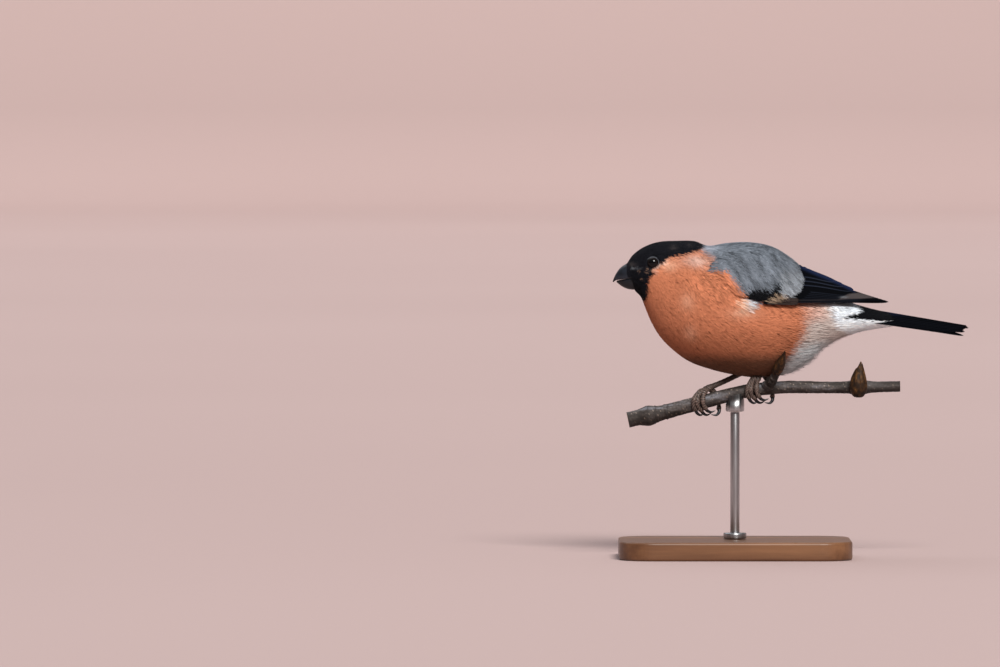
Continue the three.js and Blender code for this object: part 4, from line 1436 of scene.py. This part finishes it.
def wing_colour(point):
    """The small feathers over the folded wing: grey, a paler panel, black, cream and brown, and painted
    shade.
    """
    position, height = point[..., 0], point[..., 2]
    edge = 0.3 * MM
    shade = mix(MANTLE_GREY, ORANGE, smooth_step(4 * edge, -4 * edge, position - grey_edge(height)))
    panel = by_columns(777, 785, position) * by_rows(266, 279, height)
    shade = mix(shade, PALE_GREY, panel)
    shade = shade * (1 + 0.4 * panel * patch(point, (792, 286), (8, 9)))[..., None]
    # Painted shade and shadow from the table above
    for darker, place, reach in WING_PAINTED_SHADOWS:
        shade = shade * (1 - darker * patch(point, place, reach))[..., None]
    black, cream, brown = (smooth_step(-edge, edge, top(position) - height)
                           for top in (black_top, cream_top, brown_top))
    black = black * smooth_step(-edge, edge, column_x(781.5) - position)
    shade = mix(shade, WING_BLACK, black * (position > column_x(747)))
    cream = cream * smooth_step(edge, -edge, np.abs(position - column_x(779)) - 5.0 * MM)
    shade = mix(shade, CREAM, cream)
    return mix(shade, COVERT_BROWN, brown * (position > column_x(766)))


WING_COAT_FEATHERS = 1250
WING_COAT_SIZE = np.array([5.2, 0.38, 1.3, 0.25]) * MM


def wing_coat(side_name, side, generator, material):
    """Scapulars and small coverts: the coat that hides the wing's front half."""
    surface = wing_surface(side)
    along, across = spread_evenly(surface, (-0.02, 0.56), (0.0, 0.98), WING_COAT_FEATHERS, np.ones_like,
                                  generator)

    def turn(at, down):
        steep = np.interp(at, [0, 0.15, 0.35, 0.5], [0.6, 0.85, 0.9, 0.6])
        return steep * np.interp(down, [0, 0.55, 0.85, 1.0], [1.0, 1.0, 0.45, 0.1])

    def lines(at, down):
        point = surface(at, down)
        return (0.62 * point[:, 2] + 0.78 * point[:, 0]) / (0.8 * MM), 0.8 * point[:, 0] - 0.6 * point[:, 2]

    def keep(root, tip):
        position, height = tip[:, 0], tip[:, 2]
        ragged = generator.uniform(0, 4.5, len(tip)) * MM
        within = (position < panel_right(height)) & (height > row_z(302.5))
        within &= position > grey_edge(height) - ragged
        low_front = (position < column_x(768)) & (height < black_bottom(position))
        return within & ~low_front

    root = surface(along, across)
    greyness = smooth_step(-4 * MM, -1 * MM, root[:, 0] - grey_edge(root[:, 2]))
    strands = grow_strands(
        surface, along, across, np.tile(WING_COAT_SIZE, (len(along), 1)), generator,
        lambda root, tip: wing_colour(tip), lines,
        lambda at, down: np.stack([STRIP_MAP + 0.06 * np.clip(down, 0, 1), np.clip(at, 0, 1)], -1),
        turn, keep, hand=-side, tufts=11, sink=0.0, contrast=0.8 + 1.1 * greyness, wander=0.7 * MM)
    strand_piece(f"coat_wing_{side_name}", strands, material, "grey_plumage")


def tail_place(spread, half, level, shorter):
    """One tail feather on the tail's roof: spread is its place across, from -1 to 1."""
    def place(along, across):
        at = spread + across * half * vane_width(along, 9 - 3 * abs(spread))
        near = np.clip(-at, 0, None) ** 1.4
        far = np.clip(at, 0, None) ** 1.4
        length = (TAIL_TIP - TAIL_ROOT - TAIL_NOTCH * (1 - min(abs(spread) * 1.1, 1))
                  - TAIL_NEAR_SHORTER * max(-spread, 0) - shorter)
        width = between(*TAIL_WIDTHS, along ** 0.7) * MM
        ridge = between(*TAIL_RIDGE, along) * MM
        hang = between(*TAIL_HANG, along) * MM
        splay = 0.7 * MM * along ** 6 * max(-spread - 0.7, 0) / 0.1
        height = ridge - hang * near - 0.25 * hang * far - level - splay + 0.12 * MM * (1 - across ** 2)
        return np.stack([TAIL_ROOT + length * along, MID + at * width, height], -1)
    return place


def tail_feathers(material):
    """Twelve tail feathers, the middle pair on top and the outer ones longest."""
    bm = bmesh.new()
    for number in range(6):
        spread = 0.1 + 0.145 * number
        half = 0.42 - 0.04 * number
        for side in (LEFT, RIGHT):
            level = 0.16 * MM * number + (0.07 * MM if side == LEFT else 0)
            add_vane(bm, 44, 10, tail_place(side * spread, half, level, 0.5 * MM * (number % 2)), 0.12 * MM)
    mesh, points, across = vanes_made(bm)
    # Painted sheen: a thin blue band along the tail's upper edge
    shade = mix(0.7 * WING_BLACK, WING_BLUE_PAINTED_SHEEN, 0.35 * patch(points, (905, 313), (60, 2.5)))
    rims = smooth_step(0.88, 0.98, np.abs(2 * across - 1))
    point_values(mesh, "plumage", mix(shade, colour(24, 26, 34), 0.5 * rims))
    finish_piece("tail_feathers", mesh, [material], "flight_feathers", ["tail"])


# The perch
TWIG = np.array([
    [-46.0, 0, 59.4], [-32.0, 0, 62.3], [-19.4, 0, 65.6], [-6.5, 0, 69.0], [4.3, 0, 71.6],
    [12.9, 0, 72.8], [23.6, 0, 73.5], [40.9, 0, 73.3], [58.0, 0, 73.5], [71.0, 0, 73.8],
]) * MM
TWIG_START = -46.0
TWIG_LENGTH = 117.0
TWIG_RADII = (3.3, 2.25)
TWIG_KNOTS = ((-37.0, 3.2, 1.1), (53.5, 3.6, 1.2), (-33.6, 0.35, 0.28), (-29.6, 0.35, 0.3))
SPECKS = 260
SPECK_HEIGHT = 0.08 * MM
TWIG_SEED = 31
SPUR = np.array([[14.2, -2.2, 74.2], [16.4, -7.0, 77.4], [18.0, -10.2, 81.2]]) * MM


def rough_at(step, turn, reach):
    """How rough the bark is at a step along a twig and at an angle round it."""
    return noise.noise(Vector((step, reach * math.cos(turn), reach * math.sin(turn))))


def twig_radius(along, angle):
    """The twig's thickness, with its knots, wrinkles and low bark ridges."""
    position = TWIG_START + TWIG_LENGTH * along
    radius = between(*TWIG_RADII, along)
    for knot, reach, swell in TWIG_KNOTS:
        radius = radius + swell * np.exp(-((position - knot) / reach) ** 2)
    wrinkle = 0.10 * np.maximum(0, np.sin(position * 2.3 + np.sin(angle * 2))) * np.exp(
        -np.minimum(np.abs(position + 37), np.abs(position - 53)) / 6)
    rough = np.array([rough_at(at * 0.35, turn, 2.2) * 0.16 + rough_at(at * 1.1, turn, 5) * 0.07
                      for at, turn in zip(position, angle)])
    return (radius + wrinkle + rough) * MM


def spur_radius(along, angle):
    """The short side shoot: uneven wrinkles, a little thicker at its foot."""
    wrinkle = 0.05 * np.sin(along * 23 + 1.5 * np.sin(angle + 6 * along)) + 0.04 * np.sin(along * 41 + angle)
    rough = np.array([rough_at(3 * at, turn, 1.6) for at, turn in zip(along, angle)])
    return (1.7 + 0.9 * (1 - along) ** 2) * MM * (1 + wrinkle + 0.16 * rough)


def twig_piece(bark, cut):
    """The cut length of twig with its spur, its specks, its leaf scars and painted shade on its underside.
    """
    generator = np.random.default_rng(TWIG_SEED)
    bm = bmesh.new()
    wrapped_tube(bm, TWIG, 40, 420, twig_radius)
    wrapped_tube(bm, SPUR, 28, 60, spur_radius)
    mesh = mesh_from(bm)
    points = mesh_points(mesh)
    normals = read_vectors(mesh.vertices, "normal")
    speck = np.zeros(len(points))
    for centre in points[generator.integers(0, len(points), SPECKS)]:
        reach = generator.uniform(0.10, 0.22) * MM
        away = (points - centre) / [reach * 1.1, reach, reach]
        speck = np.maximum(speck, np.exp(-(away ** 2).sum(1)))
    points = points + normals * (speck * SPECK_HEIGHT)[:, None]
    mesh.vertices.foreach_set("co", points.ravel())
    scar = np.exp(-((points[:, 0] - 53 * MM) / (2.6 * MM)) ** 2) * (points[:, 2] < 72 * MM)
    for ring in (-37.6, -34.3, -29.1):
        scar = np.maximum(scar, np.exp(-((points[:, 0] - ring * MM) / (0.35 * MM)) ** 2))
    # Painted shade: the blue channel darkens the bark towards its underside
    raised = smooth_step(-0.8, 0.9, normals[:, 2])
    point_values(mesh, "speck", np.stack([0.7 * speck, 0.75 * scar, raised], -1))
    for polygon in mesh.polygons:
        centre = polygon.center
        is_end = abs(polygon.normal.x) > 0.93 and (centre.x < -45.0 * MM or centre.x > 70.6 * MM)
        polygon.material_index = int(is_end)
    finish_piece("twig_bark", mesh, [bark, cut], "bark", ["perch_twig"])


BUDS = {
    "near": {"root": (16.9, -8.3, 79.2), "bend": (19.2, -13.6, 84.0), "tip": (20.9, -19.6, 89.6),
             "radius": 2.35},
    "rear": {"root": (53.2, -4.9, 69.4), "bend": (53.0, -5.9, 76.4), "tip": (54.0, -4.8, 84.6),
             "radius": 3.9},
}


def bud_pieces(material):
    """Each bud: a pointed core wrapped in overlapping scales."""
    for name, bud in BUDS.items():
        path = np.array([bud["root"], bud["bend"], bud["tip"]]) * MM
        size = bud["radius"] * MM
        bm = bmesh.new()
        wrapped_tube(bm, path, 32, 60, lambda along, angle: 0.9 * size * bud_profile(along))
        for turn, start, end in ((0.4, 0.0, 0.72), (2.3, 0.04, 0.82), (3.9, 0.1, 0.9), (5.4, 0.2, 0.97)):
            bud_scale(bm, path, size, turn, start, end)
        mesh = mesh_from(bm)
        points = mesh_points(mesh)
        height = (points - path[0]) @ (path[2] - path[0]) / np.sum((path[2] - path[0]) ** 2)
        rim = 0.8 + 0.5 * smooth_step(0.0, 0.5, height) + 0.3 * smooth_step(0.7, 1.0, height)
        point_values(mesh, "rim", np.stack([rim * 1.05, rim, rim * 0.95], -1))
        finish_piece(f"bud_{name}", mesh, [material], "bud_scales", [f"perch_bud_{name}"])


def bud_profile(along):
    return (0.45 + 0.55 * np.sin(math.pi * along ** 0.65)) * (1 - 0.85 * along ** 3)


def bud_scale(bm, path, size, turn, start, end):
    """One scale: a curved leaf that wraps a third of the bud and ends in a point."""
    centre, across, up = tube_frames(path, 101)

    def place(along, sideways):
        reach = start + (end - start) * along
        step = np.round(reach * 100).astype(int)
        angle = turn + sideways * 1.15 * np.sqrt(np.clip(1 - along ** 3, 0, 1))
        lift = size * (0.94 * bud_profile(reach) + 0.07 * along + 0.04)
        return centre[step] + around(across[step], up[step], angle) * lift[:, None]
    add_vane(bm, 20, 10, place, 0.15 * MM)


# The display stand
BASE_CORNER = 14 * MM
CLOSE = 0.01 * MM
CUP_BED_HEIGHT = 69.9 * MM
CUP_BED_SLOPE = 0.25
CUP_BED_RADIUS = 2.95 * MM


def soften(bm, edges, offset, segments=3):
    bmesh.ops.bevel(bm, geom=edges, offset=offset, segments=segments, profile=0.5, affect="EDGES",
                    material=-1)


def rise(edge):
    return abs(edge.verts[0].co.z - edge.verts[1].co.z)


def stand_pieces(wood, steel):
    low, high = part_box("stand_base")
    bm = bmesh.new()
    bmesh.ops.create_cube(bm, size=1)
    bmesh.ops.scale(bm, vec=high - low, verts=bm.verts)
    bmesh.ops.translate(bm, vec=(low + high) / 2, verts=bm.verts)
    soften(bm, [edge for edge in bm.edges if rise(edge) > 1 * MM], BASE_CORNER, 14)
    soften(bm, [edge for edge in bm.edges if rise(edge) < CLOSE], 1.0 * MM)
    finish_piece("base_board", mesh_from(bm), [wood], "stand_wood", ["stand_base"], smooth=False)
    for name, edge in (("rod", 0.2 * MM), ("foot_ring", 0.5 * MM)):
        bm, _, _ = round_bar(f"stand_{name}")
        soften(bm, [each for each in bm.edges if rise(each) < CLOSE], edge)
        finish_piece(f"{name}_steel", mesh_from(bm), [steel], "stand_metal", [f"stand_{name}"])
    cup_piece(steel)


def round_bar(node):
    """A round bar in place of a node of the stand, with its radius and its top's height."""
    low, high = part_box(node)
    radius = (high.y - low.y) / 2
    bm = bmesh.new()
    bmesh.ops.create_cone(bm, cap_ends=True, segments=64, radius1=radius, radius2=radius,
                          depth=high.z - low.z)
    bmesh.ops.translate(bm, vec=(0, 0, (low.z + high.z) / 2), verts=bm.verts)
    return bm, radius, high.z


def cup_piece(material):
    """A cup whose mouth is shaped to the twig's underside."""
    bm, radius, top_z = round_bar("stand_cup")
    foot_z = min(vert.co.z for vert in bm.verts)
    foot = [edge for edge in bm.edges if max(vert.co.z for vert in edge.verts) < foot_z + CLOSE]
    soften(bm, foot, 0.6 * MM)
    top = [face for face in bm.faces if face.calc_center_median().z > top_z - CLOSE]
    for thickness in (0.4 * MM, 0.9 * MM, 0.9 * MM, 0.9 * MM):
        bmesh.ops.inset_region(bm, faces=top, thickness=thickness)
    for vert in bm.verts:
        if vert.co.z > top_z - CLOSE:
            axis = CUP_BED_HEIGHT + CUP_BED_SLOPE * vert.co.x
            drop = math.sqrt(max(CUP_BED_RADIUS ** 2 - vert.co.y ** 2, 0))
            inside = math.hypot(vert.co.x, vert.co.y) < radius - 0.2 * MM
            vert.co.z = min(vert.co.z, axis - drop + (0 if inside else 0.2 * MM))
    finish_piece("cup_steel", mesh_from(bm), [material], "stand_metal", ["stand_cup"])


# Floor, light and camera
FLOOR_RADIUS = 9.0
FLOOR_BEND = 1.6
WALL_TOP = 3.0
WELD = 1e-5


def floor_and_backdrop():
    """A wide round floor that curves up into a low wall far outside the object."""
    profile = [(0.0, 0.0), (1.0, 0.0), (4.0, 0.0)]
    profile += [(FLOOR_RADIUS + FLOOR_BEND * math.sin(turn), FLOOR_BEND * (1 - math.cos(turn)))
                for turn in np.linspace(0, math.pi / 2, 16)]
    profile.append((FLOOR_RADIUS + FLOOR_BEND, WALL_TOP))
    bm = bmesh.new()
    for ends in zip(profile, profile[1:]):
        bm.edges.new([bm.verts.new((out, 0, height)) for out, height in ends])
    bmesh.ops.remove_doubles(bm, verts=bm.verts, dist=WELD)
    bmesh.ops.spin(bm, geom=list(bm.edges) + list(bm.verts), cent=(0, 0, 0), axis=(0, 0, 1), angle=TAU,
                   steps=96, use_merge=True)
    bmesh.ops.remove_doubles(bm, verts=bm.verts, dist=WELD)
    mesh = mesh_from(bm)
    mesh.flip_normals()
    mesh.shade_smooth()
    shader = Shader("studio_floor")
    tone = shader.ramp(shader.noise(0.5, 2), (0.3, colour(179, 157, 154)), (0.7, colour(183, 161, 158)))
    wall = shader.ramp(shader.axes()["Z"], (0.0, np.ones(3)), (0.12, np.full(3, 0.84)))
    mesh.materials.append(shader.finish(shader.multiply(tone, wall), Roughness=0.95,
                                        Specular_IOR_Level=0.05))
    add_object("studio_floor", mesh)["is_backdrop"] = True


def sun(name, towards, strength, width, tint):
    """A soft light from far away, by the direction it comes from."""
    data = bpy.data.lights.new(name, "SUN")
    data.energy = strength
    data.angle = math.radians(width)
    data.color = tint
    add_object(name, data).rotation_euler = Vector(towards).to_track_quat("Z", "Y").to_euler()


def lights():
    sun("key", (0.2, -0.77, 0.63), 4.3, 22, (1.0, 0.98, 0.95))
    sun("sky", (-0.25, 0.45, 0.9), 1.1, 60, (0.86, 0.93, 1.0))
    world = bpy.data.worlds.new("studio")
    world.use_nodes = True
    background = world.node_tree.nodes["Background"].inputs
    background["Color"].default_value = (0.78, 0.75, 0.76, 1)
    background["Strength"].default_value = 0.3
    bpy.context.scene.world = world


def camera():
    """A long lens, level with the bird, on the photograph's framing."""
    data = bpy.data.cameras.new("camera")
    data.lens = LENS
    data.sensor_width = SENSOR
    data.clip_end = 50
    distance = LENS / SENSOR * FRAME_WIDTH * PIXEL
    aim_x, aim_z = at_pixel(FRAME_WIDTH / 2, FRAME_HEIGHT / 2)
    aim = Vector((aim_x, 0, aim_z))
    view = add_object("camera", data)
    view.location = aim + Vector((0, -math.cos(CAMERA_RISE), math.sin(CAMERA_RISE))) * distance
    view.rotation_euler = (math.pi / 2 - CAMERA_RISE, 0, 0)
    bpy.context.scene.camera = view


camera()
lights()
floor_and_backdrop()
bpy.context.scene.view_settings.view_transform = "Standard"

plumage = plumage_material()
horn = horn_material()
vane_finish = vane_material("flight_vanes", 0.5)
covert_finish = vane_material("covert_vanes", 0.7)
skin_piece(skin_material(), leg_material())
random_lie = np.random.default_rng(LIE_SEED)
body_coat(random_lie, plumage)
bristles(random_lie, plumage)
wing_fluff(random_lie, plumage)
for wing_name, wing_side in (("left", LEFT), ("right", RIGHT)):
    flight_feathers(wing_name, wing_side, vane_finish)
    covert_feathers(wing_name, wing_side, covert_finish)
    wing_coat(wing_name, wing_side, random_lie, plumage)
tail_feathers(vane_finish)
bill_pieces(horn)
eye_pieces(eye_material(), lid_material())
claw_pieces(horn)
twig_piece(bark_material(), cut_material())
bud_pieces(bud_material())
stand_pieces(wood_material(), steel_material())

[[list(corner) for corner in box] for box in (cad_box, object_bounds())]
